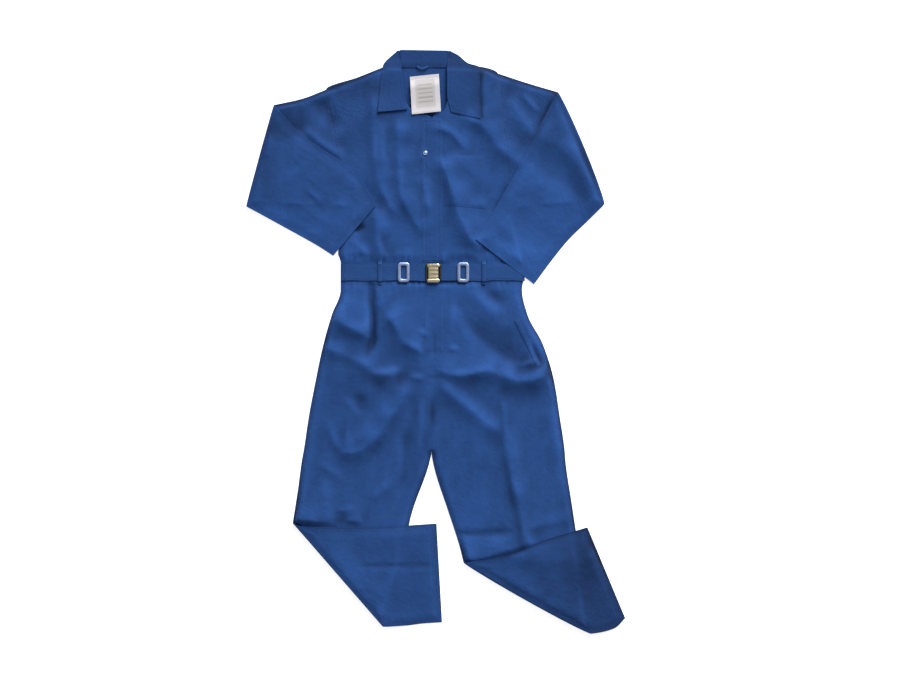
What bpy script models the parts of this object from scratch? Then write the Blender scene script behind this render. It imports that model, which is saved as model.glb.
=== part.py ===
"""A boiler suit laid out on its back, with both sleeves and both legs folded once over the front.

Sizes are in millimetres and are written to the meshes in metres. The suit lies on z = 0, +Y points
to the collar and +X to the wearer's left. Every cloth piece is a wall carried through a table of
sections: a section runs across the piece, from its outer edge to its inner edge. A folded limb has
its sections before the fold, a half turn round the fold's axis, and its sections after the fold,
which lie on top, so that the back of the limb shows there. A height field then raises whatever lies
above the back of the suit: the air under the front, and the largest folds.
"""

import math
from collections import namedtuple

import bmesh
import bpy
import numpy as np

# ---------------------------------------------------------------- driving sizes, in millimetres
CLOTH = 1.2  # wall of one layer of cloth, hems and lining air included
SEAM = 0.3  # clearance between pieces that are sewn together
FRONT_BASE = CLOTH + SEAM  # underside of the front, where it lies on the back
FRONT_TOP = FRONT_BASE + CLOTH
ON_FRONT = FRONT_TOP + SEAM  # underside of what lies on the front
FOLD_AXIS = 5.0  # height of the axis that a limb is folded round
FLAP_INNER_TOP = 2 * FOLD_AXIS - FRONT_BASE  # top of the hidden layer of a folded-over end
FLAP_OUTER_BASE = 2 * FOLD_AXIS - CLOTH  # underside of the layer that shows there
FOLD_STEPS = 6  # steps of the half turn

AIR = 3.5  # how far the front stands off the back away from the edges
AIR_RAMP = 55.0  # distance from the outline over which it does so
FLAP_AIR = 2.0
SAG = 6.4  # how far a folded-over end sinks where no cloth lies under it
SAG_RAMP = 45.0

WAIST_Y = 185.0
CENTRE_FRONT_X = -13.5  # of the bodice
BELT_Y = 184.0
BELT_WIDTH = 46.0
BELT_CLOTH = 1.6
BELT_HOLD = 30.0  # half height of the band that the belt presses flat
BELT_RELEASE = 70.0
BELT_PRESS = 0.3  # share of the air left under the belt
BELT_BASE = ON_FRONT + 0.3
BELT_TOP = BELT_BASE + BELT_CLOTH

PLACKET_HALF = 29.0
FLY_HALF = 26.0
LEG_COLUMNS = 10
FLY_BOTTOM_Y = -28.0
CLASP_X = -9.5
SLIDE_RIGHT_X = -86.5
SLIDE_LEFT_X = 73.0

COARSE = 62.0  # length of a mesh cell where a layer is hidden and flat
FINE = 27.0  # and where it shows
LAY_CENTRE = (-2.93, -2.46)  # middle of the laid suit, which becomes the origin

# ---------------------------------------------------------------- sections, from the tables' plan
Section = namedtuple("Section", "name outer_x outer_y inner_x inner_y")

BODICE_BACK = (
    Section("waist", -260, WAIST_Y + SEAM / 2, 240, WAIST_Y + SEAM / 2),
    Section("above belt", -260, 215, 240, 215),
    Section("side", -267, 235, 236, 235),
    Section("armpit", -238, 348, 207, 345),
    Section("shoulder", -300, 678, 165, 722),
    Section("yoke", -210, 713, 125, 739),
    Section("neck", -131, 745, 75, 744),
)
BODICE_RIGHT = (
    Section("waist", -260, WAIST_Y + SEAM / 2, CENTRE_FRONT_X, WAIST_Y + SEAM / 2),
    Section("above belt", -260, 215, CENTRE_FRONT_X, 215),
    Section("side", -267, 235, CENTRE_FRONT_X, 240),
    Section("armpit", -238, 348, CENTRE_FRONT_X, 348),
    Section("chest", -269.55, 516, CENTRE_FRONT_X, 500),
    Section("neck foot", -285.34, 600, CENTRE_FRONT_X, 600),
    Section("neck curve", -292.85, 640, -66, 622),
    Section("shoulder", -300, 678, -96, 668),
    Section("yoke", -210, 713, -108, 706),
    Section("neck point", -131, 745, -119, 740),
)
BODICE_LEFT = (
    Section("waist", 240, WAIST_Y + SEAM / 2, CENTRE_FRONT_X, WAIST_Y + SEAM / 2),
    Section("above belt", 240, 215, CENTRE_FRONT_X, 215),
    Section("side", 236, 235, CENTRE_FRONT_X, 240),
    Section("armpit", 207, 345, CENTRE_FRONT_X, 348),
    Section("chest", 187.5, 520, CENTRE_FRONT_X, 500),
    Section("neck foot", 178.6, 600, CENTRE_FRONT_X, 600),
    Section("neck curve", 172.5, 655, 18, 620),
    Section("shoulder", 165, 722, 33, 668),
    Section("yoke", 125, 739, 42, 706),
    Section("neck point", 75, 744, 54, 740),
)
SLEEVE_RIGHT = (
    Section("armhole", -300, 678, -238, 348),
    Section("upper arm", -367, 653, -370, 354),
    Section("fold", -440, 637, -515, 362),
)
SLEEVE_RIGHT_OVER = (
    Section("fold", -440, 637, -515, 362),
    Section("below fold", -364, 562, -450, 327),
    Section("forearm", -256, 481, -370, 283),
    Section("above cuff", -205, 432, -324, 257),
    Section("cuff", -165, 365, -280, 229),
)
SLEEVE_LEFT = (
    Section("armhole", 165, 722, 207, 345),
    Section("upper arm", 250.5, 694, 330, 356),
    Section("fold", 325.5, 672, 452.5, 368),
)
SLEEVE_LEFT_OVER = (
    Section("fold", 325.5, 672, 452.5, 368),
    Section("below fold", 275, 575, 406, 322),
    Section("forearm", 219, 467, 356, 273),
    Section("above cuff", 162, 367, 312, 219),
    Section("cuff", 105, 273, 262, 152),
)
LEG_RIGHT = (
    Section("waist", -260, WAIST_Y - SEAM / 2, -8, WAIST_Y - SEAM / 2),
    Section("below belt", -260, 138, -8, 138),
    Section("hip", -284, 70, -8, 62),
    Section("seat", -307, -11, -7, -28),
    Section("crotch", -327, -105, -6, -92),
    Section("thigh", -346, -205, -13, -192),
    Section("mid thigh", -361, -306, -14.7, -306),
    Section("above knee", -375, -400, -70, -475),
    Section("knee", -382, -445, -100, -625),
    Section("fold", -389.5, -492, -146.5, -772),
)
LEG_RIGHT_OVER = (
    Section("fold", -389.5, -492, -146.5, -772),
    Section("shin", -254, -490, -88, -770),
    Section("ankle", -127, -492, -34, -764),
    Section("hem", -1, -494, 14, -761),
)
LEG_LEFT = (
    Section("waist", 240, WAIST_Y - SEAM / 2, -8, WAIST_Y - SEAM / 2),
    Section("below belt", 230, 138, -8, 138),
    Section("hip", 245, 70, -8, 62),
    Section("seat", 287, -11, -7, -28),
    Section("crotch", 316, -105, -6, -92),
    Section("thigh", 332, -205, -13, -192),
    Section("mid thigh", 346, -306, -14.7, -306),
    Section("above knee", 364.5, -440, 28.5, -455),
    Section("knee", 382.5, -560, 46.5, -509),
    Section("below knee", 399, -680, 61.5, -557),
    Section("fold", 414.5, -791, 72, -599),
)
LEG_LEFT_OVER = (
    Section("fold", 414.5, -791, 72, -599),
    Section("shin", 445, -787, 170, -583),
    Section("ankle", 481.5, -776, 285, -540),
    Section("hem", 509, -750, 406.5, -504),
)
COLLAR_LEAF_RIGHT = (
    Section("tip", -159, 616, -78, 624),
    Section("middle", -154, 680, -91, 675),
    Section("neck", -146, 742, -97.3, 738),
    Section("roll", -107, 784, -99.5, 784),
)
COLLAR_LEAF_LEFT = (
    Section("tip", 119, 597, 38, 616),
    Section("middle", 126, 664, 27.3, 665),
    Section("neck", 117, 739, 27.3, 738),
    Section("turn", 84, 750, 27.5, 752),
    Section("upper", 57, 772, 28, 768),
    Section("roll", 36, 783, 29, 783),
)
COLLAR_STAND = (
    Section("fall edge", -96.8, 748, 26.8, 748),
    Section("roll", -98, 786, 27.4, 784),
)
COLLAR_STAND_OVER = (
    Section("roll", -98, 786, 27.4, 784),
    Section("neck seam", -96.8, 738, 26.8, 738),
)
LABEL = (
    Section("sewn end", -73, 713, 5.4, 721),
    Section("free end", -67.5, 610, 11, 618),
)
LABEL_CLOTH = 1.0
COLLAR_CLOTH = 2.0
COLLAR_BASE = ON_FRONT + 0.5
STAND_CLOTH = 1.5
STAND_AXIS = 1.95

# ---------------------------------------------------------------- the largest folds
Fold = namedtuple("Fold", "name x0 y0 x1 y1 bow height half_width")
FRONT_FOLDS = (
    Fold("right hip pleat", -171, 158, -170, -42, 0, -3.2, 15),
    Fold("right hip pleat edge", -143, 130, -140, 20, 5, 4.5, 20),
    Fold("right hip drag", -128, 70, -30, -38, 14, 4.5, 18),
    Fold("right hip rise", -270, -30, -110, -85, 0, 3.5, 20),
    Fold("lap wave", 11, -72, 292, -56, -46, 5.0, 19),
    Fold("left thigh drag", 8, -108, 176, -252, 0, 5.0, 20),
    Fold("right thigh drag", -76, -120, -262, -306, 22, 4.5, 22),
    Fold("left hip hollow", 70, 60, 246, -20, 0, -2.8, 42),
    Fold("left leg press", 165, -140, 227, -560, -8, 3.0, 20),
    Fold("right thigh rise", -300, -300, -262, -470, 0, 3.5, 26),
    Fold("left chest drag", 45, 610, 214, 480, 8, 6.0, 20),
    Fold("left breast fold", 6, 482, 160, 222, -10, 4.8, 20),
    Fold("right chest drape", -181, 690, -140, 350, -9, 5.0, 21),
    Fold("right breast fold", -111, 545, -62, 285, 6, 4.0, 19),
    Fold("right side fold", -172, 340, -178, 232, 0, 4.5, 18),
)
FLAP_FOLDS = (
    Fold("right shin crease", -230, -606, -10, -602, 4, 2.6, 17),
    Fold("right shin drag", -330, -520, -160, -690, 0, 2.2, 26),
    Fold("left shin drag", 150, -620, 420, -640, -10, 2.6, 26),
    Fold("left forearm ridge", 214, 480, 408, 424, 10, 3.6, 20),
    Fold("left cuff drag", 170, 330, 300, 250, 0, 2.2, 24),
    Fold("right forearm drag", -420, 560, -330, 330, 0, 2.4, 26),
    Fold("right cuff drag", -270, 440, -330, 290, 0, 2.0, 22),
)

COLOURS = {
    "cloth": (0.026, 0.088, 0.300),
    "cloth_dark": (0.020, 0.068, 0.240),
    "belt": (0.022, 0.076, 0.260),
    "label": (0.62, 0.58, 0.62),
    "steel": (0.62, 0.66, 0.74),
    "brass": (0.62, 0.50, 0.27),
    "dark_brass": (0.20, 0.15, 0.08),
}


def finish(name):
    """The material of one finish: a Principled BSDF with its colour, roughness and metal."""
    if name in bpy.data.materials:
        return bpy.data.materials[name]
    metal = name in ("steel", "brass", "dark_brass")
    material = bpy.data.materials.new(name)
    material.use_nodes = True
    shader = material.node_tree.nodes["Principled BSDF"]
    shader.inputs["Base Color"].default_value = (*COLOURS[name], 1.0)
    shader.inputs["Roughness"].default_value = 0.32 if metal else 0.85
    shader.inputs["Metallic"].default_value = 1.0 if metal else 0.0
    return material


# ---------------------------------------------------------------- plan and height
def ramp(value):
    """Smooth step from 0 at 0 to 1 at 1."""
    t = np.clip(value, 0.0, 1.0)
    return t * t * (3 - 2 * t)


def edge(table, side):
    """The plan points of one edge of a table's sections, as an array."""
    if side == "outer":
        return np.array([(s.outer_x, s.outer_y) for s in table], float)
    return np.array([(s.inner_x, s.inner_y) for s in table], float)


def laid_outline():
    """The outline of the laid suit without its folded-over ends, as one closed polygon."""
    right_leg, left_leg = edge(LEG_RIGHT, "inner")[4:], edge(LEG_LEFT, "inner")[4:]
    return np.vstack([
        edge(BODICE_RIGHT, "outer")[:6:-1],
        edge(SLEEVE_RIGHT, "outer")[1:],
        edge(SLEEVE_RIGHT, "inner")[::-1],
        edge(BODICE_RIGHT, "outer")[2:0:-1],
        edge(LEG_RIGHT, "outer")[1:],
        right_leg[::-1],
        left_leg,
        edge(LEG_LEFT, "outer")[:0:-1],
        edge(BODICE_LEFT, "outer")[1:3],
        edge(SLEEVE_LEFT, "inner"),
        edge(SLEEVE_LEFT, "outer")[:0:-1],
        edge(BODICE_LEFT, "outer")[7:],
    ])


def flap_outline(table):
    """The outline of one folded-over end."""
    return np.vstack([edge(table, "outer"), edge(table, "inner")[::-1]])


def inside_distance(x, y, polygon):
    """Distance to the polygon's nearest side, positive inside it by the even-odd rule."""
    nearest = np.full(x.shape, 1e9)
    inside = np.zeros(x.shape, bool)
    for (ax, ay), (bx, by) in zip(polygon, np.roll(polygon, -1, axis=0)):
        dx, dy = bx - ax, by - ay
        t = np.clip(((x - ax) * dx + (y - ay) * dy) / max(dx * dx + dy * dy, 1e-9), 0, 1)
        nearest = np.minimum(nearest, np.hypot(x - ax - t * dx, y - ay - t * dy))
        if abs(dy) > 1e-9:
            crosses = (ay > y) != (by > y)
            inside ^= crosses & (x < ax + (y - ay) * dx / dy)
    return np.where(inside, nearest, -nearest)


def folds(x, y, table):
    """Sum of the folds' heights: a bell across each fold's bowed line, fading at its ends."""
    total = np.zeros(x.shape)
    for f in table:
        dx, dy = f.x1 - f.x0, f.y1 - f.y0
        length = math.hypot(dx, dy)
        along = ((x - f.x0) * dx + (y - f.y0) * dy) / length**2
        aside = ((y - f.y0) * dx - (x - f.x0) * dy) / length
        t = np.clip(along, 0, 1)
        across = (aside - 4 * f.bow * t * (1 - t)) / f.half_width
        total += f.height * np.exp(-across**2) * np.sin(math.pi * t) ** 0.8
    return total


OUTLINE = laid_outline()
FLAPS = [
    flap_outline(table)
    for table in (SLEEVE_RIGHT_OVER, SLEEVE_LEFT_OVER, LEG_RIGHT_OVER, LEG_LEFT_OVER)
]


def lay(points):
    """Raises points by the height field, in steps at the gaps between the layers.

    The front and all above it rise by the air and folds under it, the showing layer of a
    folded-over end also by its own, and that end sinks where nothing lies under it. Each step is
    a rise with height, so layers never cross.
    """
    x, y, z = points[..., 0], points[..., 1], points[..., 2]
    depth = inside_distance(x, y, OUTLINE)
    from_belt = np.abs(y - BELT_Y) - BELT_HOLD
    held = ramp(from_belt / BELT_RELEASE)
    air = AIR * (BELT_PRESS + (1 - BELT_PRESS) * held)
    front = ramp(depth / AIR_RAMP) * np.maximum(air + held * folds(x, y, FRONT_FOLDS), 0.0)
    over = np.max([inside_distance(x, y, flap) for flap in FLAPS], axis=0)
    flap = ramp(over / AIR_RAMP) * np.maximum(FLAP_AIR + folds(x, y, FLAP_FOLDS), 0.0)
    sag = SAG * ramp(-depth / SAG_RAMP)
    on_front = ramp((z - CLOTH) / SEAM)
    on_limb = ramp((z - 5.5) / 1.0)
    on_flap = ramp((z - FLAP_INNER_TOP) / (FLAP_OUTER_BASE - FLAP_INNER_TOP))
    laid = points.copy()
    laid[..., 2] = z + on_front * front + on_flap * flap - on_limb * sag
    return laid


def resample(table, spacing):
    """Both edges of a table, with each span cut into steps no longer than spacing."""
    outer, inner = edge(table, "outer"), edge(table, "inner")
    rows = []
    for k in range(len(table) - 1):
        middle = np.linalg.norm((outer[k + 1] + inner[k + 1] - outer[k] - inner[k]) / 2)
        steps = max(1, math.ceil(middle / spacing))
        rows += [k + i / steps for i in range(steps)]
    rows = np.array(rows + [len(table) - 1.0])
    places = np.arange(len(table))
    both = [np.column_stack([np.interp(rows, places, e[:, c]) for c in (0, 1)]) for e in (outer, inner)]
    return both[0], both[1], rows


def across(outer, inner, fractions, strip=0.0):
    """Points of each section, from its inner edge to its outer edge, half a seam in from both.

    A strip of fixed width lies along the inner edge, and the fractions divide what is left.
    """
    span = outer - inner
    width = np.linalg.norm(span, axis=1, keepdims=True)
    direction = span / width
    usable = width[:, 0] - SEAM
    edge_strip = np.minimum(strip, usable * 0.3)
    columns = [np.zeros_like(usable)] if strip else []
    columns += [edge_strip + f * (usable - edge_strip) for f in fractions]
    distance = np.column_stack(columns) + SEAM / 2
    return inner[:, None, :] + direction[:, None, :] * distance[:, :, None]


def even(count):
    """Evenly spaced fractions from 0 to 1."""
    return np.linspace(0.0, 1.0, count)


def folded_rows(before, after, axis, spacing, after_spacing=None):
    """Edges and turn of every section of a folded piece, with the fold's outward direction."""
    outer_a, inner_a, _ = resample(before, spacing)
    outer_b, inner_b, _ = resample(after, after_spacing or spacing)
    along = inner_a[-1] - outer_a[-1]
    normal = np.array([along[1], -along[0]]) / np.linalg.norm(along)
    if normal @ (outer_a[-1] + inner_a[-1] - outer_a[-2] - inner_a[-2]) < 0:
        normal = -normal
    shift = -normal * axis
    for rows in (outer_a, inner_a):
        rows[-1] += shift
    for rows in (outer_b, inner_b):
        rows[0] += shift
    turning = np.linspace(0, math.pi, FOLD_STEPS + 1)[1:-1]
    outer = np.vstack([outer_a, np.repeat(outer_a[-1:], len(turning), 0), outer_b])
    inner = np.vstack([inner_a, np.repeat(inner_a[-1:], len(turning), 0), inner_b])
    turn = np.concatenate([np.zeros(len(outer_a)), turning, np.full(len(outer_b), math.pi)])
    return outer, inner, turn, normal


def folded(plan, height, turn, normal, axis):
    """Points at a height above the floor before the fold, carried round the fold's axis."""
    height = np.broadcast_to(height, plan.shape[:2])
    radius = axis - height
    out = radius * np.sin(turn)[:, None]
    points = np.empty((*plan.shape[:2], 3))
    points[..., :2] = plan + out[..., None] * normal
    points[..., 2] = axis - radius * np.cos(turn)[:, None]
    return points


def flat(plan, height):
    """Points of an unfolded piece at one height."""
    points = np.empty((*plan.shape[:2], 3))
    points[..., :2] = plan
    points[..., 2] = height
    return points


# ---------------------------------------------------------------- meshes
def add_object(name, vertices, faces, material):
    """One named object from vertices in millimetres, facing outwards."""
    centred = (np.asarray(vertices, float) - np.array([*LAY_CENTRE, 0.0])) / 1000
    mesh = bpy.data.meshes.new(name)
    mesh.from_pydata(centred.tolist(), [], faces)
    builder = bmesh.new()
    builder.from_mesh(mesh)
    bmesh.ops.recalc_face_normals(builder, faces=builder.faces)
    builder.to_mesh(mesh)
    builder.free()
    mesh.shade_smooth()
    mesh.set_sharp_from_angle(angle=math.radians(40))
    mesh.materials.append(finish(material))
    piece = bpy.data.objects.new(name, mesh)
    bpy.context.scene.collection.objects.link(piece)
    return piece


def cells(rows, columns, mirrored=0):
    """Two triangles for each cell of a grid; the first mirrored columns are cut the other way."""
    faces = []
    for i in range(rows - 1):
        for j in range(columns - 1):
            a, b = i * columns + j, i * columns + j + 1
            c, d = a + columns, b + columns
            faces += [(a, b, c), (b, d, c)] if j < mirrored else [(a, b, d), (a, d, c)]
    return faces


def wall(name, low, high, material, mirrored=0):
    """A closed wall between two grids of points, one on each side of the cloth."""
    rows, columns = low.shape[:2]
    count = rows * columns
    faces = cells(rows, columns, mirrored)
    faces += [tuple(count + v for v in reversed(f)) for f in faces]
    rim = [j for j in range(columns)]
    rim += [i * columns + columns - 1 for i in range(1, rows)]
    rim += [(rows - 1) * columns + j for j in range(columns - 2, -1, -1)]
    rim += [i * columns for i in range(rows - 2, 0, -1)]
    for k, a in enumerate(rim):
        b = rim[(k + 1) % len(rim)]
        faces += [(a, a + count, b), (b, a + count, b + count)]
    vertices = np.vstack([low.reshape(-1, 3), high.reshape(-1, 3)])
    return add_object(name, vertices, faces, material)


def closed_loft(name, rings, material):
    """A body whose rings of points close on each other both ways, such as a frame."""
    count, size = rings.shape[:2]
    faces = []
    for i in range(count):
        for j in range(size):
            a, b = i * size + j, i * size + (j + 1) % size
            c, d = ((i + 1) % count) * size + j, ((i + 1) % count) * size + (j + 1) % size
            faces += [(a, b, d, c)]
    return add_object(name, rings.reshape(-1, 3), faces, material)


def folded_wall(name, before, after, low, high, spacing):
    """A panel of a leg between two heights above the floor; both panels share the grid past the fold."""
    outer, inner, turn, normal = folded_rows(before, after, FOLD_AXIS, spacing, FINE)
    plan = across(outer, inner, even(LEG_COLUMNS), FLY_HALF)
    wall(name, *[lay(folded(plan, h, turn, normal, FOLD_AXIS)) for h in (low, high)], "cloth")
    return plan


def folded_tube(name, before, after, material, count, spacing):
    """A folded sleeve: one flattened tube, open at both ends.

    Round each section the outside runs along the floor side, up the edge and back along the
    front, and the inside does the same one layer further in.
    """
    outer, inner, turn, normal = folded_rows(before, after, FOLD_AXIS, spacing)
    toward_fold = normal * SEAM
    outer[0] += toward_fold
    inner[0] += toward_fold
    middle = (CLOTH + FRONT_BASE) / 2
    fractions = even(count)

    def ring(inset, low, high):
        width = np.linalg.norm(outer - inner, axis=1)[:, None, None]
        direction = (outer - inner)[:, None, :] / width
        near = inner[:, None, :] + direction * inset
        far = outer[:, None, :] - direction * inset
        side = 0.6 + inset
        flat_near, flat_far = inner[:, None, :] + direction * side, outer[:, None, :] - direction * side
        body = flat_near + (flat_far - flat_near) * fractions[None, :, None]
        plan = np.concatenate([body, far, body[:, ::-1], near], axis=1)
        heights = np.concatenate([np.full(count, low), [middle], np.full(count, high), [middle]])
        return lay(folded(plan, heights[None, :], turn, normal, FOLD_AXIS))

    outside, inside = ring(SEAM / 2, 0.0, FRONT_TOP), ring(SEAM / 2 + CLOTH, CLOTH, FRONT_BASE)
    rows, size = outside.shape[:2]
    faces = []
    for i in range(rows - 1):
        for j in range(size):
            a, b = i * size + j, i * size + (j + 1) % size
            c, d = a + size, b + size
            faces += [(a, b, d), (a, d, c)]
    shift = rows * size
    faces += [tuple(shift + v for v in reversed(f)) for f in faces]
    for start in (0, (rows - 1) * size):
        for j in range(size):
            a, b = start + j, start + (j + 1) % size
            faces += [(a, a + shift, b), (b, a + shift, b + shift)]
    add_object(name, np.vstack([outside.reshape(-1, 3), inside.reshape(-1, 3)]), faces, material)


# ---------------------------------------------------------------- bodice and trousers
FRACTIONS_RIGHT = (0.0, 0.17, 0.33, 0.5, 0.67, 0.84, 1.0)
FRACTIONS_LEFT = (0.0, 0.05, 0.2, 0.36, 0.52, 0.67, 0.84, 1.0)
POCKET_COLUMNS = (2, 7)  # of the left front, from the centre front
POCKET_TOP_Y = 497.0
POCKET_BOTTOM_Y = 360.0


def bodice_back():
    outer, inner, _ = resample(BODICE_BACK, COARSE)
    plan = across(outer, inner, even(9))
    wall("back_bodice", flat(plan, 0.0), flat(plan, CLOTH), "cloth")


def bodice_front(name, table, fractions):
    """One front, and the plan of its grid, which what lies on it shares."""
    outer, inner, _ = resample(table, FINE)
    plan = across(outer, inner, fractions, PLACKET_HALF)
    wall(name, lay(flat(plan, FRONT_BASE)), lay(flat(plan, FRONT_TOP)), "cloth")
    return plan


def centre_strip(name, right, left, rows, mirrored_width, thickness, material):
    """A strip over the centre front, from both fronts' first two columns, moved out by a seam."""
    centre = (right[rows, 0] + left[rows, 0]) / 2
    plan = np.stack([right[rows, 1], centre, left[rows, 1]], axis=1)
    low = lay(flat(plan, ON_FRONT))
    wall(name, low, lay(flat(plan, ON_FRONT + thickness)), material, mirrored_width)


def placket(right, left):
    rows = [i for i in range(min(len(right), len(left))) if 212 < right[i, 0, 1] < 601]
    centre_strip("placket", right, left, rows, 1, CLOTH, "cloth")


def fly_cover(right, left):
    rows = [i for i in range(min(len(right), len(left))) if FLY_BOTTOM_Y - 1 < right[i, 0, 1] < 152]
    centre_strip("fly_cover", right, left, rows, 1, CLOTH, "cloth")


def chest_pocket(plan):
    """A patch on the left front, on that front's own points, moved out by a seam."""
    column = plan[:, POCKET_COLUMNS[0], 1]
    rows = [i for i in range(len(column)) if POCKET_BOTTOM_Y < column[i] < POCKET_TOP_Y]
    patch = plan[rows[0]:rows[-1] + 1, POCKET_COLUMNS[0]:POCKET_COLUMNS[1]]
    wall("chest_pocket", lay(flat(patch, ON_FRONT)), lay(flat(patch, ON_FRONT + CLOTH)), "cloth")


def trousers(side, before, after):
    """Front and back of one leg; the front is the layer inside the fold."""
    front = folded_wall(f"trouser_front_{side}", before, after, FRONT_BASE, FRONT_TOP, FINE)
    folded_wall(f"trouser_back_{side}", before, after, 0.0, CLOTH, COARSE)
    return front


def side_pocket_facing(plan):
    """The turned edge of the left side pocket, a slanting strip on the front's own height."""
    ends = np.array([[222.0, 62.0], [284.0, -64.0]])
    steps = np.linspace(0, 1, 8)[:, None]
    line = ends[0] + (ends[1] - ends[0]) * steps
    across_line = np.array([0.905, 0.425]) * 7.0
    strip = np.stack([line - across_line * 1.6, line - across_line * 0.4], axis=1)
    low, high = lay(flat(strip, ON_FRONT + 0.5)), lay(flat(strip, ON_FRONT + 0.5 + CLOTH))
    wall("side_pocket_facing", low, high, "cloth")


# ---------------------------------------------------------------- collar, label and loop
def collar_leaf(name, table):
    """One leaf of the collar, lying on the front and dropping behind the shoulder line."""
    outer, inner, _ = resample(table, 20.0)
    plan = across(outer, inner, even(5))
    drop = 2.6 * ramp((plan[..., 1] - 738) / 30)
    low = flat(plan, COLLAR_BASE)
    low[..., 2] -= drop
    high = low.copy()
    high[..., 2] += COLLAR_CLOTH
    wall(name, lay(low), lay(high), "cloth")


def collar_stand():
    """The stand's inner face, rolled at its top edge into the fall behind it."""
    outer, inner, turn, normal = folded_rows(COLLAR_STAND, COLLAR_STAND_OVER, STAND_AXIS, 16.0)
    plan = across(outer, inner, even(6))
    sides = [folded(plan, h, turn, normal, STAND_AXIS) for h in (0.0, STAND_CLOTH)]
    wall("collar_stand", *sides, "cloth_dark")


def care_label():
    """A blank label: sewn to the inside of the back, its free end on the top of the fronts."""
    outer, inner, rows = resample(LABEL, 18.0)
    plan = across(outer, inner, even(5))
    sewn = flat(plan, CLOTH + SEAM)
    free = lay(flat(plan, ON_FRONT + 0.4))
    low = sewn + (free - sewn) * ramp(rows / 0.8)[:, None, None]
    high = low.copy()
    high[..., 2] += LABEL_CLOTH
    wall("care_label", low, high, "label")


def hanger_loop():
    """A narrow tape from the stand's seam, hanging in a shallow bow."""
    t = np.linspace(0, 1, 9)
    x = -56 + 36 * t
    y = 741 - 11 * np.sin(math.pi * t)
    plan = np.stack([np.column_stack([x, y - 2.2]), np.column_stack([x, y + 2.2])], axis=1)
    wall("hanger_loop", flat(plan, 4.3), flat(plan, 5.4), "cloth_dark")


def press_stud():
    """The cap of the press stud, a low dome on the placket."""
    centre = np.array([-31.0, 506.0])
    angles = np.linspace(0, 2 * math.pi, 16, endpoint=False)
    circle = np.column_stack([np.cos(angles), np.sin(angles)])
    seat = lay(flat((centre + circle * 6.0)[None], ON_FRONT + CLOTH))[..., 2].max() + 0.2
    profile = ((5.6, 0.0), (5.6, 0.7), (4.6, 1.4), (2.4, 1.8))
    vertices, faces = [], []
    for radius, height in profile:
        vertices += [(centre[0] + radius * c, centre[1] + radius * s, seat + height) for c, s in circle]
    size = len(circle)
    for k in range(len(profile) - 1):
        for j in range(size):
            a, b = k * size + j, k * size + (j + 1) % size
            faces.append((a, b, b + size, a + size))
    faces += [tuple(range(size)), tuple(range((len(profile) - 1) * size, len(profile) * size))]
    add_object("press_stud", vertices, faces, "steel")


# ---------------------------------------------------------------- belt and its metal
def belt_strip(name, x_start, x_end, base, thickness, rise=None):
    """A level run of belt between two places along the waist."""
    columns = max(3, math.ceil(abs(x_end - x_start) / 22) + 1)
    x = np.linspace(x_start, x_end, columns)
    y = BELT_Y + BELT_WIDTH * np.array([-0.5, -0.17, 0.17, 0.5])
    plan = np.stack(np.meshgrid(x, y, indexing="ij"), axis=-1)
    low = flat(plan, base)
    if rise is not None:
        low[..., 2] += rise(x)[:, None]
    high = low.copy()
    high[..., 2] += thickness
    wall(name, lay(low), lay(high), "belt")


def belt():
    """Two half belts from the side seams, each doubled back through its slide."""
    belt_strip("belt_right", -257.5, -26.0, BELT_BASE, BELT_CLOTH)
    belt_strip("belt_left", 237.0, 7.0, BELT_BASE, BELT_CLOTH)
    base = BELT_TOP + SEAM
    belt_strip("belt_return_right", -100.0, -26.0, base, CLOTH)
    belt_strip("belt_return_left", 86.0, 7.0, base, CLOTH)


def belt_loop(name, x):
    """A narrow loop: its feet on the cloth above and below the belt, its middle over the belt."""
    half = BELT_WIDTH / 2
    offsets = np.array([-half - 9, -half - 4, -half - 1, -half + 4, 0, half - 4, half + 1, half + 4, half + 9])
    lift = np.array([0, 0, 1, 1, 1, 1, 1, 0, 0]) * (BELT_TOP - ON_FRONT + 0.1)
    y = BELT_Y + offsets
    plan = np.stack(np.meshgrid([x - 5.0, x + 5.0], y, indexing="ij"), axis=-1).transpose(1, 0, 2)
    low = flat(plan, ON_FRONT + 0.2)
    low[..., 2] += lift[:, None]
    high = low.copy()
    high[..., 2] += CLOTH
    wall(name, lay(low), lay(high), "belt")


def rounded_rectangle(centre_x, width, height, corner, per_corner=4):
    """Points round a rectangle with round corners, anticlockwise, about the belt's line."""
    points = []
    for k, (sx, sy) in enumerate(((1, 1), (-1, 1), (-1, -1), (1, -1))):
        for a in np.linspace(0, math.pi / 2, per_corner) + k * math.pi / 2:
            points.append((centre_x + sx * (width / 2 - corner) + corner * math.cos(a),
                           BELT_Y + sy * (height / 2 - corner) + corner * math.sin(a)))
    return np.array(points)


def metal_ring(name, centre_x, width, height, bar, base, thickness, material):
    """A rectangular frame of flat wire with bevelled edges."""
    bevel = 0.6
    inside_out = []
    for inset, z in ((0.0, bevel), (bevel, 0.0), (bar - bevel, 0.0), (bar, bevel),
                     (bar, thickness - bevel), (bar - bevel, thickness),
                     (bevel, thickness), (0.0, thickness - bevel)):
        corner = max(7.0 - inset, 1.5)
        loop = rounded_rectangle(centre_x, width - 2 * inset, height - 2 * inset, corner)
        inside_out.append(np.column_stack([loop, np.full(len(loop), base + z)]))
    rings = np.stack(inside_out, axis=1)
    return closed_loft(name, rings, material)


def slide(name, centre_x):
    """A belt slide on top of the doubled belt."""
    base = BELT_TOP + SEAM + CLOTH + SEAM + AIR * BELT_PRESS
    metal_ring(name, centre_x, 36.0, 58.0, 6.0, base, 2.4, "steel")


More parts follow.
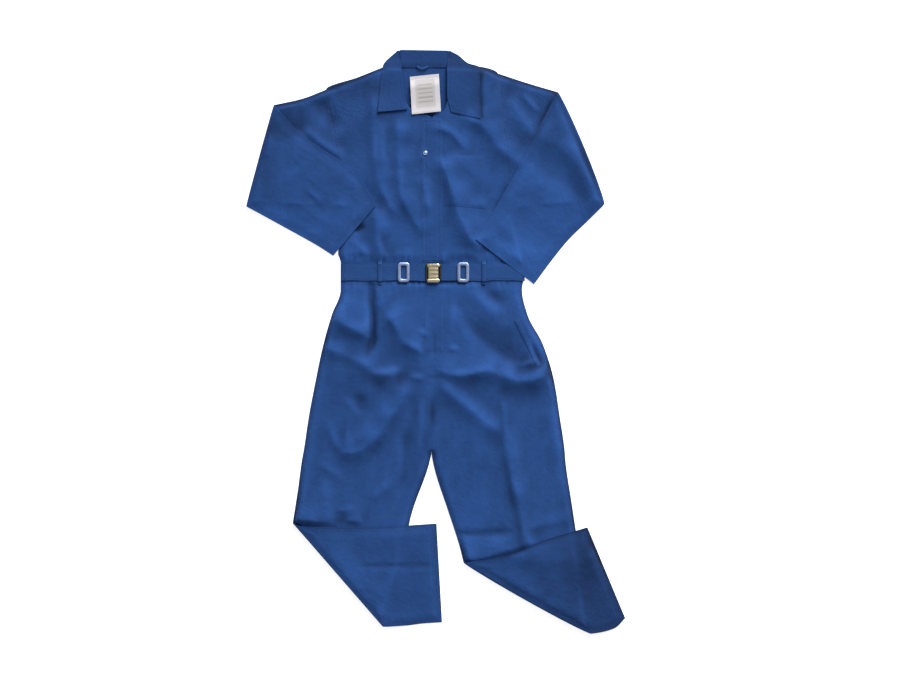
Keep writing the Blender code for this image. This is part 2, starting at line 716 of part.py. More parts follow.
def clasp():
    """The fastened clasp: the catch's ring between the belt's ends, and the waisted plate on it."""
    base = BELT_TOP + SEAM + CLOTH + SEAM + AIR * BELT_PRESS
    metal_ring("clasp_catch", CLASP_X, 42.0, 50.0, 4.0, base, 2.0, "dark_brass")
    top_base = base + 2.0 + SEAM
    half_width, waist, half_height, bar = 15.0, 12.0, 29.5, 8.0
    corners = [(half_width, half_height), (half_width, half_height - bar), (waist, half_height - bar - 4)]
    right_side = corners + [(x, -y) for x, y in reversed(corners)]
    loop = np.array(right_side + [(-x, -y) for x, y in right_side]) + [CLASP_X, BELT_Y]
    middle = np.array([CLASP_X, BELT_Y])
    vertices, faces = [], []
    for shrink, z in ((0.97, 0.0), (1.0, 0.6), (1.0, 2.0), (0.95, 2.8)):
        ring = middle + (loop - middle) * shrink
        vertices += [(*p, top_base + z) for p in ring]
    size = len(loop)
    for k in range(3):
        for j in range(size):
            a, b = k * size + j, k * size + (j + 1) % size
            faces.append((a, b, b + size, a + size))
    faces += [tuple(range(size)), tuple(range(3 * size, 4 * size))]
    add_object("clasp_plate", vertices, faces, "brass")


def build():
    for old in list(bpy.data.objects):
        bpy.data.objects.remove(old)
    bodice_back()
    right = bodice_front("front_bodice_right", BODICE_RIGHT, FRACTIONS_RIGHT)
    left = bodice_front("front_bodice_left", BODICE_LEFT, FRACTIONS_LEFT)
    placket(right, left)
    chest_pocket(left)
    folded_tube("sleeve_right", SLEEVE_RIGHT, SLEEVE_RIGHT_OVER, "cloth", 9, 30.0)
    folded_tube("sleeve_left", SLEEVE_LEFT, SLEEVE_LEFT_OVER, "cloth", 9, 30.0)
    leg_right = trousers("right", LEG_RIGHT, LEG_RIGHT_OVER)
    leg_left = trousers("left", LEG_LEFT, LEG_LEFT_OVER)
    fly_cover(leg_right, leg_left)
    side_pocket_facing(leg_left)
    collar_leaf("collar_leaf_right", COLLAR_LEAF_RIGHT)
    collar_leaf("collar_leaf_left", COLLAR_LEAF_LEFT)
    collar_stand()
    care_label()
    hanger_loop()
    press_stud()
    belt()
    belt_loop("belt_loop_right", -154.0)
    belt_loop("belt_loop_left", 127.0)
    slide("slide_right", SLIDE_RIGHT_X)
    slide("slide_left", SLIDE_LEFT_X)
    clasp()


build()
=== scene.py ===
"""The looks of a boiler suit that lies on its back, with both sleeves and both legs folded over once.

The tables are in millimetres on the plan of the laid suit, with x to the wearer's left and y to the
collar. Meshes are in metres about the middle of the laid suit. A piece of cloth is worked out in
three steps: a grid of points over its plan, the height of its layer above the floor, and the relief
of the cloth, which four height maps hold. FRONT is the relief of the front, STIFF and DRAPED are
smoother sheets that rest on it, for what is sewn on and for what is folded over, and FLAP is the
further relief of a folded-over end. Two more maps, one for the front and one for the folded-over
ends, hold painted light and shade: how much paler or darker the cloth is painted.
"""

import math
from collections import namedtuple

import bpy
import numpy as np
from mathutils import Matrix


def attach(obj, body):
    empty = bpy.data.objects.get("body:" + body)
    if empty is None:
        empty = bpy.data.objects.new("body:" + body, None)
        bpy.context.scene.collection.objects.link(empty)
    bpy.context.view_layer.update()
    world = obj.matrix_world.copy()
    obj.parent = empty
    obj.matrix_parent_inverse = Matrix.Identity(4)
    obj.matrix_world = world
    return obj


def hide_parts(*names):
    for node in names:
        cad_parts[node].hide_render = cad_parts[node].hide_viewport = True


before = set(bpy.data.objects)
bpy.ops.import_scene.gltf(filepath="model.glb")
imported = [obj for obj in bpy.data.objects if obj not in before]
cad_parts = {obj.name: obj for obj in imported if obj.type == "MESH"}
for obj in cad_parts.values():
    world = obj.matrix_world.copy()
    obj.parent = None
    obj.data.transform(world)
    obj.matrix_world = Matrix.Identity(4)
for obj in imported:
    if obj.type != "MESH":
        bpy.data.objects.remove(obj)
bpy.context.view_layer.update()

# ---- driving sizes, in millimetres
LAY_CENTRE = (-2.93, -2.46)  # middle of the laid suit on the plan
CELL = 4.6  # mesh cell where cloth shows
HIDDEN_CELL = 14.0  # and where it doesn't
OUTLINE_CELL = 20.0

CLOTH = 0.9
BACK_TOP = 0.9  # layers, by the height of their faces before any relief
FRONT_BASE = 1.8
FRONT_TOP = 2.7
ON_FRONT = 3.0
PATCH_BASE = 2.75
FOLD_AXIS = 5.0
TURN_STEPS = 9

EDGE_AIR = 4.2  # how far the front stands off the back just inside its edges
EDGE_RAMP = 17.0
AIR = 4.4  # and how much further in the middle
AIR_RAMP = 170.0
FOLD_RAMP = 16.0
SINK = 6.9  # how far a folded-over end sinks where no cloth lies under it
SINK_RAMP = 105.0
SETTLE_RUN = 75.0  # distance past a fold over which its gap closes
FLAP_AIR = 1.7
FOLD_DEPTH = 1.45  # all drawn folds deepened by this much
FOLD_REACH = 2.6  # half widths of a fold within which it is drawn
FOLDED_Z, FOLDED_RUN = 3.2, 2.5  # height before any relief at which the folded-over layers begin
SHOWING_Z, SHOWING_RUN = 8.2, 0.9  # and at which the one that shows begins
EDGE_Z = FRONT_TOP / 2  # height of a flattened sleeve's two edges
PRESSED = 0.7  # how far a folded-over end is pressed down along its rim
SLEEVE_SPAN = 300.0  # width for which a sleeve's cells are spread

WAIST_Y = 185.0
SEAM = 0.06
BODICE_WAIST_Y = WAIST_Y + SEAM / 2
TROUSER_WAIST_Y = WAIST_Y - SEAM / 2
INSEAM_DIP_Y = -296.0  # below this the two legs dip to their inseams
CENTRE_FRONT_X = -13.5
BELT_Y = 184.0
BELT_WIDTH = 46.0
BELT_CLOTH = 1.6
BELT_BASE = ON_FRONT + 0.3
BELT_TOP = BELT_BASE + BELT_CLOTH
RETURN_BASE = BELT_TOP + SEAM
RETURN_RISE = 1.6  # thickness of the doubled-back belt with its turned edges
METAL_GAP = 0.3
CLASP_X = -9.5
SLIDE_RIGHT_X = -89.5
SLIDE_LEFT_X = 71.0
STUD_CENTRE = np.array([-31.0, 506.0])

# ---- sections of the cloth pieces
# Each row is a section across a piece: its name, and where it meets the outer and the inner edge.
# Besides its sections, a folded limb has a bow, a settle, and how much paler or darker its folded-over end is
# painted: painted light and shade.
Limb = namedtuple("Limb", "name before after bow settle tone")


def sections(*rows):
    """The sections of a piece of cloth, one to a row: the outer edge's x and y, then the inner's."""
    return np.array([row[1:] for row in rows], float)


def folded_once(name, bow, settle, tone, *rows):
    """A piece folded over at its section named "fold", which belongs to both of its parts."""
    at = [row[0] for row in rows].index("fold")
    return Limb(name, sections(*rows[:at + 1]), sections(*rows[at:]), bow, settle, tone)


BODICE_BACK = sections(
    ("waist", -260, BODICE_WAIST_Y, 240, BODICE_WAIST_Y),
    ("above belt", -260, 215, 240, 215),
    ("side", -267, 235, 236, 235),
    ("armpit", -238, 348, 207, 345),
    ("above armpit", -240.24, 360, 205.66, 357),
    ("shoulder", -300, 678, 165, 722),
    ("yoke", -210, 713, 125, 739),
    ("neck", -131, 745, 75, 744),
)
BODICE_RIGHT = sections(
    ("waist", -260, BODICE_WAIST_Y, CENTRE_FRONT_X, BODICE_WAIST_Y),
    ("above belt", -260, 215, CENTRE_FRONT_X, 215),
    ("side", -267, 235, CENTRE_FRONT_X, 240),
    ("armpit", -238, 348, CENTRE_FRONT_X, 348),
    ("above armpit", -240.24, 360, CENTRE_FRONT_X, 360),
    ("chest", -269.55, 516, CENTRE_FRONT_X, 500),
    ("neck foot", -285.34, 600, CENTRE_FRONT_X, 600),
    ("neck curve", -292.85, 640, -66, 622),
    ("shoulder", -300, 678, -96, 668),
    ("yoke", -210, 713, -108, 706),
    ("neck point", -131, 745, -119, 740),
)
BODICE_LEFT = sections(
    ("waist", 240, BODICE_WAIST_Y, CENTRE_FRONT_X, BODICE_WAIST_Y),
    ("above belt", 240, 215, CENTRE_FRONT_X, 215),
    ("side", 236, 235, CENTRE_FRONT_X, 240),
    ("armpit", 207, 345, CENTRE_FRONT_X, 348),
    ("above armpit", 205.66, 357, CENTRE_FRONT_X, 360),
    ("chest", 187.5, 520, CENTRE_FRONT_X, 500),
    ("neck foot", 178.6, 600, CENTRE_FRONT_X, 600),
    ("neck curve", 172.5, 655, 18, 620),
    ("shoulder", 165, 722, 33, 668),
    ("yoke", 125, 739, 42, 706),
    ("neck point", 75, 744, 54, 740),
)
SLEEVE_RIGHT = folded_once(
    "sleeve_right", 1.5, 4.1, -0.1,
    ("armhole", -300, 678, -238, 348),
    ("upper arm", -367, 653, -370, 354),
    ("fold", -440, 637, -515, 362),
    ("fold foot", -417, 611, -496, 352),
    ("below fold", -366, 556, -450, 327),
    ("forearm", -256, 480, -370, 283),
    ("above cuff", -205, 432, -324, 257),
    ("cuff", -165, 365, -280, 229),
)
SLEEVE_LEFT = folded_once(
    "sleeve_left", 9.0, 4.1, 0.25,
    ("armhole", 165, 722, 207, 345),
    ("upper arm", 250.5, 694, 330, 356),
    ("fold", 325.5, 672, 452.5, 368),
    ("below fold", 275, 575, 406, 322),
    ("forearm", 219, 467, 356, 273),
    ("above cuff", 162, 367, 312, 219),
    ("cuff", 105, 273, 262, 152),
)
LEG_RIGHT = folded_once(
    "right", 0.0, 4.0, -0.3,
    ("waist", -260, TROUSER_WAIST_Y, -8, TROUSER_WAIST_Y),
    ("below belt", -260, 138, -8, 138),
    ("hip", -284, 70, -8, 62),
    ("seat", -307, -11, -7, -28),
    ("crotch", -327, -105, -6, -92),
    ("thigh", -346, -205, -13, -192),
    ("inseam", -360, -298, -14.6, -300),
    ("mid thigh", -365, -325, -20, -329),
    ("above knee", -375, -400, -70, -475),
    ("knee", -382, -445, -100, -625),
    ("fold", -389.5, -492, -146.5, -772),
    ("fold foot", -368, -500, -139, -772),
    ("shin", -254, -503, -88, -770),
    ("ankle", -127, -501, -34, -764),
    ("hem", -1, -494, 14, -761),
)
LEG_LEFT = folded_once(
    "left", 7.0, 4.0, -1.3,
    ("waist", 240, TROUSER_WAIST_Y, -8, TROUSER_WAIST_Y),
    ("below belt", 230, 138, -8, 138),
    ("hip", 245, 70, -8, 62),
    ("seat", 287, -11, -7, -28),
    ("crotch", 316, -105, -6, -92),
    ("thigh", 332, -205, -13, -192),
    ("inseam", 345.5, -298, -14.6, -300),
    ("mid thigh", 347.5, -325, -10.5, -329),
    ("above knee", 364.5, -440, 28.5, -455),
    ("knee", 382.5, -560, 46.5, -509),
    ("below knee", 399, -680, 61.5, -557),
    ("fold", 414.5, -791, 72, -599),
    ("shin", 445, -787, 170, -583),
    ("ankle", 481.5, -776, 285, -540),
    ("hem", 509, -750, 406.5, -504),
)
COLLAR_LEAF_RIGHT = sections(
    ("tip", -159, 616, -78, 624),
    ("middle", -154, 680, -91, 675),
    ("neck", -146, 742, -96.4, 738),
    ("roll", -107, 784, -98.2, 784),
)
COLLAR_LEAF_LEFT = sections(
    ("tip", 118, 597, 38, 616),
    ("middle", 117, 664, 27.3, 665),
    ("neck", 113, 739, 27.3, 738),
    ("turn", 84, 750, 27.5, 752),
    ("upper", 57, 772, 28, 768),
    ("roll", 36, 783, 29, 783),
)
# the stand's inner face is painted darker: painted shade inside the collar
COLLAR_STAND = folded_once(
    "collar_stand", 0.0, 0.0, -1.0,
    ("fall edge", -97.6, 748, 27.6, 748),
    ("fold", -99.4, 786, 28.9, 784),
    ("neck seam", -97.2, 738, 27.2, 738),
)
STAND_CLOTH = 1.5
STAND_AXIS = 1.95
LABEL = sections(
    ("sewn end", -73, 713, 5.4, 721),
    ("free end", -67.5, 610, 11, 618),
)

# ---- folds of the cloth
# Each fold has its name, its height, the half widths of its steep and of its gentle side, and its
# line. The gentle side lies to the left of the line's direction, and a negative height is a hollow.
FRONT_FOLDS = (
    ("right chest drape", 3.0, 13, 34, (-173, 683), (-171, 610), (-170, 529), (-166, 440)),
    ("right chest drape low", 4.3, 14, 36, (-167, 478), (-159, 440), (-146, 405), (-130, 370), (-94, 327)),
    ("right breast fold", 3.4, 13, 44, (-104, 608), (-103, 529), (-101, 467), (-97, 408)),
    ("right breast fold low", 4.6, 14, 58, (-103, 467), (-100, 429), (-96, 397), (-84, 366), (-66, 333),
     (-46, 302), (-30, 273)),
    ("placket drag", 3.8, 12, 14, (-36, 448), (-32, 408), (-28, 373), (-22, 329)),
    ("placket drag high", 1.4, 7, 10, (-43, 537), (-43, 505), (-42, 473)),
    ("right neck strip", 0.8, 6, 9, (-148, 597), (-148, 529), (-146, 456)),
    ("right side fold", 4.4, 16, 28, (-173, 373), (-163, 332), (-161, 286), (-157, 246), (-148, 208)),
    ("right side crumple", 1.9, 9, 14, (-243, 275), (-211, 255), (-181, 221)),
    ("hollow under the right cuff", -5.0, 10, 12, (-227, 292), (-211, 304), (-192, 316)),
    ("right shoulder dent", -3.7, 34, 32, (-329, 678), (-310, 634), (-284, 594), (-256, 554)),
    ("right elbow dent", -4.8, 22, 34, (-459, 543), (-410, 567), (-370, 580), (-324, 564)),
    ("right arm ridge", 3.4, 26, 10, (-446, 616), (-410, 628), (-370, 634)),
    ("right shoulder ridge", 3.4, 28, 10, (-346, 653), (-310, 667), (-265, 678)),
    ("right arm crease", 2.4, 9, 18, (-381, 597), (-348, 563), (-308, 528), (-267, 500), (-240, 478)),
    ("hollow over the belt", -2.8, 12, 22, (-157, 310), (-151, 286), (-143, 262), (-127, 235), (-108, 213)),
    ("arch fold", 2.8, 10, 18, (-24, 555), (4, 570), (35, 562), (63, 533), (89, 500)),
    ("left chest drag", 6.2, 24, 34, (54, 616), (86, 594), (122, 579), (148, 549), (167, 522), (192, 501),
     (221, 483), (256, 466)),
    ("shade beside the left sleeve", -3.0, 8, 14, (148, 327), (167, 364), (184, 405), (197, 437)),
    ("left sleeve edge crease", -3.6, 6, 11, (265, 556), (296, 612), (325, 664)),
    ("left breast fold", 7.2, 20, 42, (3, 505), (23, 456), (39, 410), (49, 370), (62, 335), (80, 297),
     (100, 265), (124, 235)),
    ("left collar groove", 4.6, 15, 42, (123, 759), (123, 678), (124, 629), (134, 586)),
    ("left shoulder drag", 3.4, 24, 22, (178, 659), (204, 634), (225, 603), (248, 567), (267, 540)),
    ("left shoulder dent", 2.2, 10, 14, (220, 675), (252, 637), (277, 605)),
    ("left breast swell", 1.6, 18, 30, (27, 516), (92, 456), (135, 392)),
    ("chest pocket sag", 1.6, 12, 20, (70, 373), (105, 366), (146, 374)),
    ("puff over the belt right", 1.6, 8, 16, (-254, 235), (-213, 238), (-167, 232)),
    ("puff over the belt middle", 1.0, 8, 14, (-146, 227), (-97, 232), (-49, 227)),
    ("puff under the belt middle", 1.0, 9, 8, (-140, 146), (-70, 148), (11, 146), (92, 148), (151, 148)),
    ("puff over the belt left", 1.2, 8, 14, (27, 230), (70, 235), (124, 224)),
    ("right hip pleat", -5.2, 11, 8, (-175, 186), (-175, 111), (-172, 62), (-171, 16), (-176, -40)),
    ("right hip pleat deep", -2.6, 12, 10, (-174, 105), (-170, 57), (-169, 8)),
    ("right hip pleat lip", 1.4, 10, 26, (-153, 159), (-150, 111), (-148, 68)),
    ("right hip drag", 6.2, 27, 46, (-151, 92), (-127, 62), (-108, 30), (-89, -1), (-62, -20), (-24, -43)),
    ("right hip drag edge", 1.3, 9, 16, (-143, 81), (-119, 46), (-99, 11)),
    ("right hip drag edge low", 1.9, 9, 16, (-100, 0), (-65, -19), (-30, -40)),
    ("right hip rise", 6.4, 22, 46, (-346, 78), (-286, 59), (-248, 45), (-219, 30), (-189, 11), (-162, -8)),
    ("right hip rise low", 4.4, 18, 30, (-335, -8), (-281, -27), (-240, -42), (-213, -55), (-184, -72),
     (-157, -89)),
    ("pleat foot", -2.7, 16, 13, (-180, 57), (-182, 14), (-186, -30), (-192, -68)),
    ("right crotch drag", 4.4, 17, 18, (-205, -82), (-173, -90), (-140, -92), (-113, -86), (-84, -70)),
    ("right crotch drag inner", 1.9, 10, 10, (-84, -94), (-57, -100), (-27, -103)),
    ("right thigh fall", 3.3, 62, 40, (-308, -68), (-246, -84), (-178, -97), (-92, -108)),
    ("right thigh hollow", -2.6, 20, 16, (-204, -135), (-204, -170), (-211, -205)),
    ("right hip swell", 1.6, 22, 26, (-256, 122), (-227, 89), (-200, 62)),
    ("lap wave", 5.4, 16, 34, (-16, -73), (11, -81), (35, -90), (65, -94), (103, -86), (135, -80), (159, -84),
     (184, -92)),
    ("lap wave outer", 8.8, 23, 32, (151, -81), (189, -97), (219, -108), (248, -108), (275, -99), (300, -86),
     (324, -73)),
    ("lap fall", 2.6, 52, 20, (22, -97), (92, -94), (181, -97)),
    ("left thigh drag", 5.0, 23, 24, (3, -92), (24, -127), (47, -153), (74, -174), (100, -193), (124, -215),
     (148, -235), (184, -259)),
    ("left thigh crease", 1.3, 6, 8, (171, -138), (181, -200), (186, -278)),
    ("left press crease", 4.0, 13, 30, (176, -224), (184, -267), (192, -310), (200, -354), (211, -405),
     (224, -456)),
    ("left press crease low", 2.2, 12, 34, (212, -408), (221, -443), (234, -508), (243, -580)),
    ("left hip hollow", -4.2, 26, 54, (54, 132), (73, 81), (90, 46), (112, 18), (140, -7), (173, -26),
     (205, -43), (248, -65)),
    ("left hip swell", 4.2, 50, 34, (86, 148), (108, 116), (130, 88), (151, 63), (181, 42), (221, 24)),
    ("left hip hollow high", -3.0, 20, 16, (103, 176), (117, 157), (139, 132), (166, 113), (190, 84)),
    ("left belly swell", 1.6, 24, 30, (43, 111), (70, 43), (92, -24)),
    ("left pocket crease", 3.8, 10, 10, (208, -72), (246, -63), (284, -51)),
    ("left pocket pull", 1.4, 8, 10, (248, -3), (251, -30), (254, -57)),
    ("left pocket mouth", -2.6, 9, 9, (252, 0), (267, -32), (289, -73)),
    ("right thigh drag", 7.4, 19, 50, (-278, -297), (-246, -302), (-213, -297), (-189, -282), (-166, -258),
     (-146, -230), (-127, -202), (-108, -176), (-93, -140), (-81, -92)),
    ("right thigh wrinkle", 1.4, 8, 14, (-259, -148), (-232, -176), (-202, -213)),
    ("right thigh wrinkle inner", 1.7, 10, 14, (-297, -208), (-284, -251), (-270, -284), (-248, -310)),
    ("right thigh wrinkle low", 1.1, 10, 16, (-343, -324), (-308, -338), (-278, -359), (-246, -386)),
    ("right knee wrinkle", 1.1, 8, 12, (-281, -456), (-251, -459), (-216, -446)),
    ("right knee drag", 1.4, 12, 18, (-186, -440), (-157, -410), (-116, -370)),
    ("right knee bulge", 6.0, 14, 84, (-437, -473), (-400, -478), (-356, -483), (-313, -486), (-262, -489)),
    ("right knee bulge inner", 2.8, 7, 30, (-259, -483), (-227, -486), (-189, -487)),
    ("right inner leg hollow", -2.2, 14, 22, (-81, -230), (-84, -294), (-86, -354), (-100, -421)),
    ("right inner leg fold", 1.6, 12, 12, (-42, -140), (-46, -227), (-51, -316)),
    ("crotch dimple", -0.8, 8, 8, (-38, -92), (-5, -100), (30, -94)),
    ("left knee hollow", -2.0, 14, 12, (27, -524), (81, -521), (138, -518), (221, -513)),
    ("left knee ridge outer", 2.0, 12, 26, (219, -509), (246, -504), (294, -495), (373, -478), (416, -470)),
    ("left shin bulge", 5.6, 12, 40, (43, -597), (78, -591), (132, -582), (181, -567), (238, -551), (281, -540),
     ),
    ("left outer thigh swell", 1.4, 18, 20, (294, -159), (313, -240), (324, -335)),
    ("centre seam", -1.2, 4, 4, (-8, 30), (-8, -11), (-8, -51)),
    ("fly pucker", 1.3, 6, 10, (27, -14), (46, -24), (65, -24)),
    ("fly pucker right", 1.2, 6, 10, (-57, 32), (-38, 19), (-16, 5)),
    ("fly drag", 1.0, 8, 12, (-35, 122), (-32, 62), (-24, 3)),
    ("fly drag left", 1.0, 8, 12, (46, 132), (40, 70), (35, 3)),
    ("left forearm valley", -4.2, 26, 46, (221, 510), (256, 483), (300, 456), (343, 432), (381, 402),
     (413, 359)),
    ("right elbow hollow", -1.6, 20, 24, (-470, 516), (-454, 456), (-459, 394)),
)
FLAP_FOLDS = (
    ("right shin crease", -1.3, 9, 6, (-221, -606), (-103, -606), (5, -606)),
    ("right shin swell", 0.9, 26, 30, (-300, -551), (-205, -645), (-111, -713)),
    ("left shin fall", 3.0, 70, 40, (173, -580), (294, -591), (416, -580), (475, -570)),
    ("left forearm valley deep", -1.2, 20, 34, (221, 510), (256, 483), (300, 456), (343, 432), (381, 402),
     (413, 359)),
    ("left forearm rise", 3.2, 32, 34, (243, 559), (302, 540), (356, 505), (400, 440), (424, 378)),
    ("left forearm hollow low", -0.8, 16, 22, (181, 397), (254, 383), (324, 348)),
    ("left cuff drag", 1.0, 14, 22, (151, 340), (213, 273), (267, 213)),
    ("right forearm drag", 0.9, 18, 28, (-413, 543), (-367, 475), (-300, 392)),
    ("right forearm crease", 1.2, 8, 12, (-362, 421), (-327, 386), (-300, 364)),
    ("right cuff drag", 0.9, 14, 22, (-367, 367), (-300, 321), (-243, 305)),
)

# ---- curves and plans
def ramp(value):
    """Smooth step from 0 at 0 to 1 at 1."""
    t = np.clip(value, 0.0, 1.0)
    return t * t * (3 - 2 * t)


def norm(vectors):
    """Length of each vector of an array."""
    return np.linalg.norm(vectors, axis=-1)


def chord_lengths(points):
    """Distance along a line of points from its first, at each of them."""
    return np.concatenate([[0.0], np.cumsum(norm(np.diff(points, axis=0)))])


def smooth_through(places, points, at):
    """Cubic curve through points, flat wherever a coordinate turns, so that it never overshoots.

    Each slope at a point is the harmonic mean of the slopes on its two sides, or zero where they
    differ in sign, and the spans between are Hermite cubics.
    """
    step = np.diff(places)[:, None]
    slope = np.diff(points, axis=0) / step
    same = slope[1:] * slope[:-1] > 0
    total = np.where(same, slope[1:] + slope[:-1], 1.0)
    inner = np.where(same, 2 * slope[1:] * slope[:-1] / total, 0.0)
    tangent = np.vstack([slope[:1], inner, slope[-1:]])
    span = np.clip(np.searchsorted(places, at, side="right") - 1, 0, len(places) - 2)
    t = ((at - places[span]) / step[span, 0])[:, None]
    h = step[span]
    return (
        points[span] * (2 * t**3 - 3 * t**2 + 1)
        + points[span + 1] * (3 * t**2 - 2 * t**3)
        + tangent[span] * h * (t**3 - 2 * t**2 + t)
        + tangent[span + 1] * h * (t**3 - t**2)
    )


def smooth_edges(table, cell):
    """Both edges of a table as smooth lines, cut into steps of about one cell along its middle."""
    outer, inner = table[:, :2], table[:, 2:]
    places = chord_lengths((outer + inner) / 2)
    at = np.linspace(0, places[-1], max(2, math.ceil(places[-1] / cell) + 1))
    return smooth_through(places, outer, at), smooth_through(places, inner, at)


def smooth_line(points, cell=8.0):
    """A smooth line through a few points."""
    points = np.array(points, float)
    places = chord_lengths(points)
    return smooth_through(places, points, np.linspace(0, places[-1], math.ceil(places[-1] / cell) + 1))


def spread(width, cell, edge_steps=(0.0, 1.2, 3.2)):
    """Fractions of about a piece's width: a few close steps at both edges, even cells between."""
    steps = np.array(edge_steps)
    middle = np.linspace(steps[-1], width - steps[-1], max(2, round((width - 2 * steps[-1]) / cell) + 1))
    return np.concatenate([steps[:-1], middle, width - steps[-2::-1]]) / width


def across(outer, inner, fractions):
    """Grid of plan points, from the inner edge to the outer, half a seam in from both."""
    span = outer - inner
    width = np.linalg.norm(span, axis=1, keepdims=True)
    usable = 1 - SEAM / width
    return inner[:, None] + span[:, None] * (SEAM / 2 / width + usable * fractions[None, :])[..., None]


def plan_of(table, cell, fractions):
    """Plan grid of a flat piece."""
    return across(*smooth_edges(table, cell), fractions)


def inside_distance(x, y, polygon):
    """Distance to a polygon's nearest side, positive inside it by the even-odd rule."""
    nearest = np.full(x.shape, 1e12)
    inside = np.zeros(x.shape, bool)
    for (ax, ay), (bx, by) in zip(polygon, np.roll(polygon, -1, axis=0)):
        dx, dy = bx - ax, by - ay
        t = np.clip(((x - ax) * dx + (y - ay) * dy) / max(dx * dx + dy * dy, 1e-9), 0, 1)
        nearest = np.minimum(nearest, (x - ax - t * dx) ** 2 + (y - ay - t * dy) ** 2)
        if abs(dy) > 1e-9:
            inside ^= ((ay > y) != (by > y)) & (x < ax + (y - ay) * dx / dy)
    return np.where(inside, 1, -1) * np.sqrt(nearest)


# ---- height maps
MAP_STEP = 2.0
MAP_X = np.arange(-560, 561, MAP_STEP)
MAP_Y = np.arange(-840, 841, MAP_STEP)
X, Y = np.meshgrid(MAP_X, MAP_Y)
FROM_BELT = np.abs(Y - BELT_Y)


def between(grid, rows, columns):
    """A grid's values at fractional rows and columns, from their four neighbours by distance."""
    rows = np.clip(rows, 0, grid.shape[0] - 1.001)
    columns = np.clip(columns, 0, grid.shape[1] - 1.001)
    i, j = rows.astype(int), columns.astype(int)
    s, t = rows - i, columns - j
    if grid.ndim > 2:
        s, t = s[..., None], t[..., None]
    low = grid[i, j] * (1 - t) + grid[i, j + 1] * t
    high = grid[i + 1, j] * (1 - t) + grid[i + 1, j + 1] * t
    return low * (1 - s) + high * s


def read_map(values, points):
    """A map's value at points of the plan."""
    return between(values, (points[..., 1] - MAP_Y[0]) / MAP_STEP, (points[..., 0] - MAP_X[0]) / MAP_STEP)


def waves_of(shape):
    """Number of waves to the millimetre along x and y of each term of a map's transform."""
    return np.fft.rfftfreq(shape[1], MAP_STEP)[None, :], np.fft.fftfreq(shape[0], MAP_STEP)[:, None]


def blur(values, width):
    """Gaussian blur of a map: each wave is weakened by exp(-2 (pi width waves)^2)."""
    fx, fy = waves_of(values.shape)
    weaken = np.exp(-2 * (math.pi * width) ** 2 * (fx**2 + fy**2))
    return np.fft.irfft2(np.fft.rfft2(values) * weaken, values.shape)


def crumple(seed, length, lean=0.0, stretch=1.0):
    """Random relief of unit spread, whose waves are about one length and longer along a direction."""
    noise = np.random.default_rng(seed).standard_normal(X.shape)
    fx, fy = waves_of(X.shape)
    along = (fx * math.cos(lean) + fy * math.sin(lean)) * stretch
    aside = fy * math.cos(lean) - fx * math.sin(lean)
    waves = np.maximum(np.hypot(along, aside), 1e-9)
    band = np.exp(-(np.log(waves * length) / 0.45) ** 2)
    relief = np.fft.irfft2(np.fft.rfft2(noise) * band, X.shape)
    return relief / relief.std()


def add_fold(total, height, steep, gentle, line):
    """Adds one fold to a map: a bell exp(-d^p) of the distance d from its line in half widths.

    The half width differs on the two sides, and the height fades in and out along the line. The
    power p is 2, but 1.4 on a ridge's steep side and on a hollow's gentle one, which are crisper.
    """
    line = smooth_line(line)
    reach = FOLD_REACH * max(steep, gentle)
    columns = slice(*np.searchsorted(MAP_X, [line[:, 0].min() - reach, line[:, 0].max() + reach]))
    rows = slice(*np.searchsorted(MAP_Y, [line[:, 1].min() - reach, line[:, 1].max() + reach]))
    x, y = X[rows, columns], Y[rows, columns]
    places = chord_lengths(line)
    nearest, side, along = np.full(x.shape, 1e12), np.zeros(x.shape), np.zeros(x.shape)
    for k in range(len(line) - 1):
        (ax, ay), (dx, dy) = line[k], line[k + 1] - line[k]
        t = np.clip(((x - ax) * dx + (y - ay) * dy) / (dx * dx + dy * dy), 0, 1)
        away = (x - ax - t * dx) ** 2 + (y - ay - t * dy) ** 2
        closer = away < nearest
        nearest = np.where(closer, away, nearest)
        side = np.where(closer, dx * (y - ay) - dy * (x - ax), side)
        along = np.where(closer, places[k] + t * (places[k + 1] - places[k]), along)
    half_width = np.where(side > 0, gentle, steep)
    power = np.where((side > 0) == (height > 0), 2.0, 1.4)
    fade_run = min(48.0, 0.42 * places[-1])
    fade = ramp(along / fade_run) * ramp((places[-1] - along) / fade_run)
    distance = np.sqrt(nearest) / half_width
    total[rows, columns] += FOLD_DEPTH * height * fade * np.exp(-(distance**power))


def folds_of(table):
    """Sum of a table's folds, as a map."""
    total = np.zeros(X.shape)
    for _name, height, steep, gentle, *line in table:
        add_fold(total, height, steep, gentle, line)
    return total


def laid_outline():
    """Outline of the laid suit without its folded-over ends, as one closed polygon."""
    arm_right, arm_left, leg_right, leg_left = (smooth_edges(limb.before, OUTLINE_CELL) for limb in LIMBS)
    shoulder_right = smooth_edges(BODICE_RIGHT[8:], OUTLINE_CELL)[0]
    shoulder_left = smooth_edges(BODICE_LEFT[8:], OUTLINE_CELL)[0]
    inseam_right, inseam_left = (leg[1][leg[1][:, 1] < INSEAM_DIP_Y] for leg in (leg_right, leg_left))
    return np.vstack([
        shoulder_right[::-1], arm_right[0][1:], arm_right[1][::-1], BODICE_RIGHT[2:0:-1, :2],
        leg_right[0][1:], inseam_right[::-1], inseam_left, leg_left[0][:0:-1],
        BODICE_LEFT[1:3, :2], arm_left[1], arm_left[0][:0:-1], shoulder_left,
    ])


def folded_over(limb):
    """Distance into a limb's folded-over end, at each point of a map."""
    outer, inner = smooth_edges(limb.after, OUTLINE_CELL)
    return inside_distance(X, Y, np.vstack([outer, inner[::-1]]))


LIMBS = (SLEEVE_RIGHT, SLEEVE_LEFT, LEG_RIGHT, LEG_LEFT)
DEPTH = inside_distance(X, Y, laid_outline())
OVER = np.max([folded_over(limb) for limb in LIMBS], axis=0)


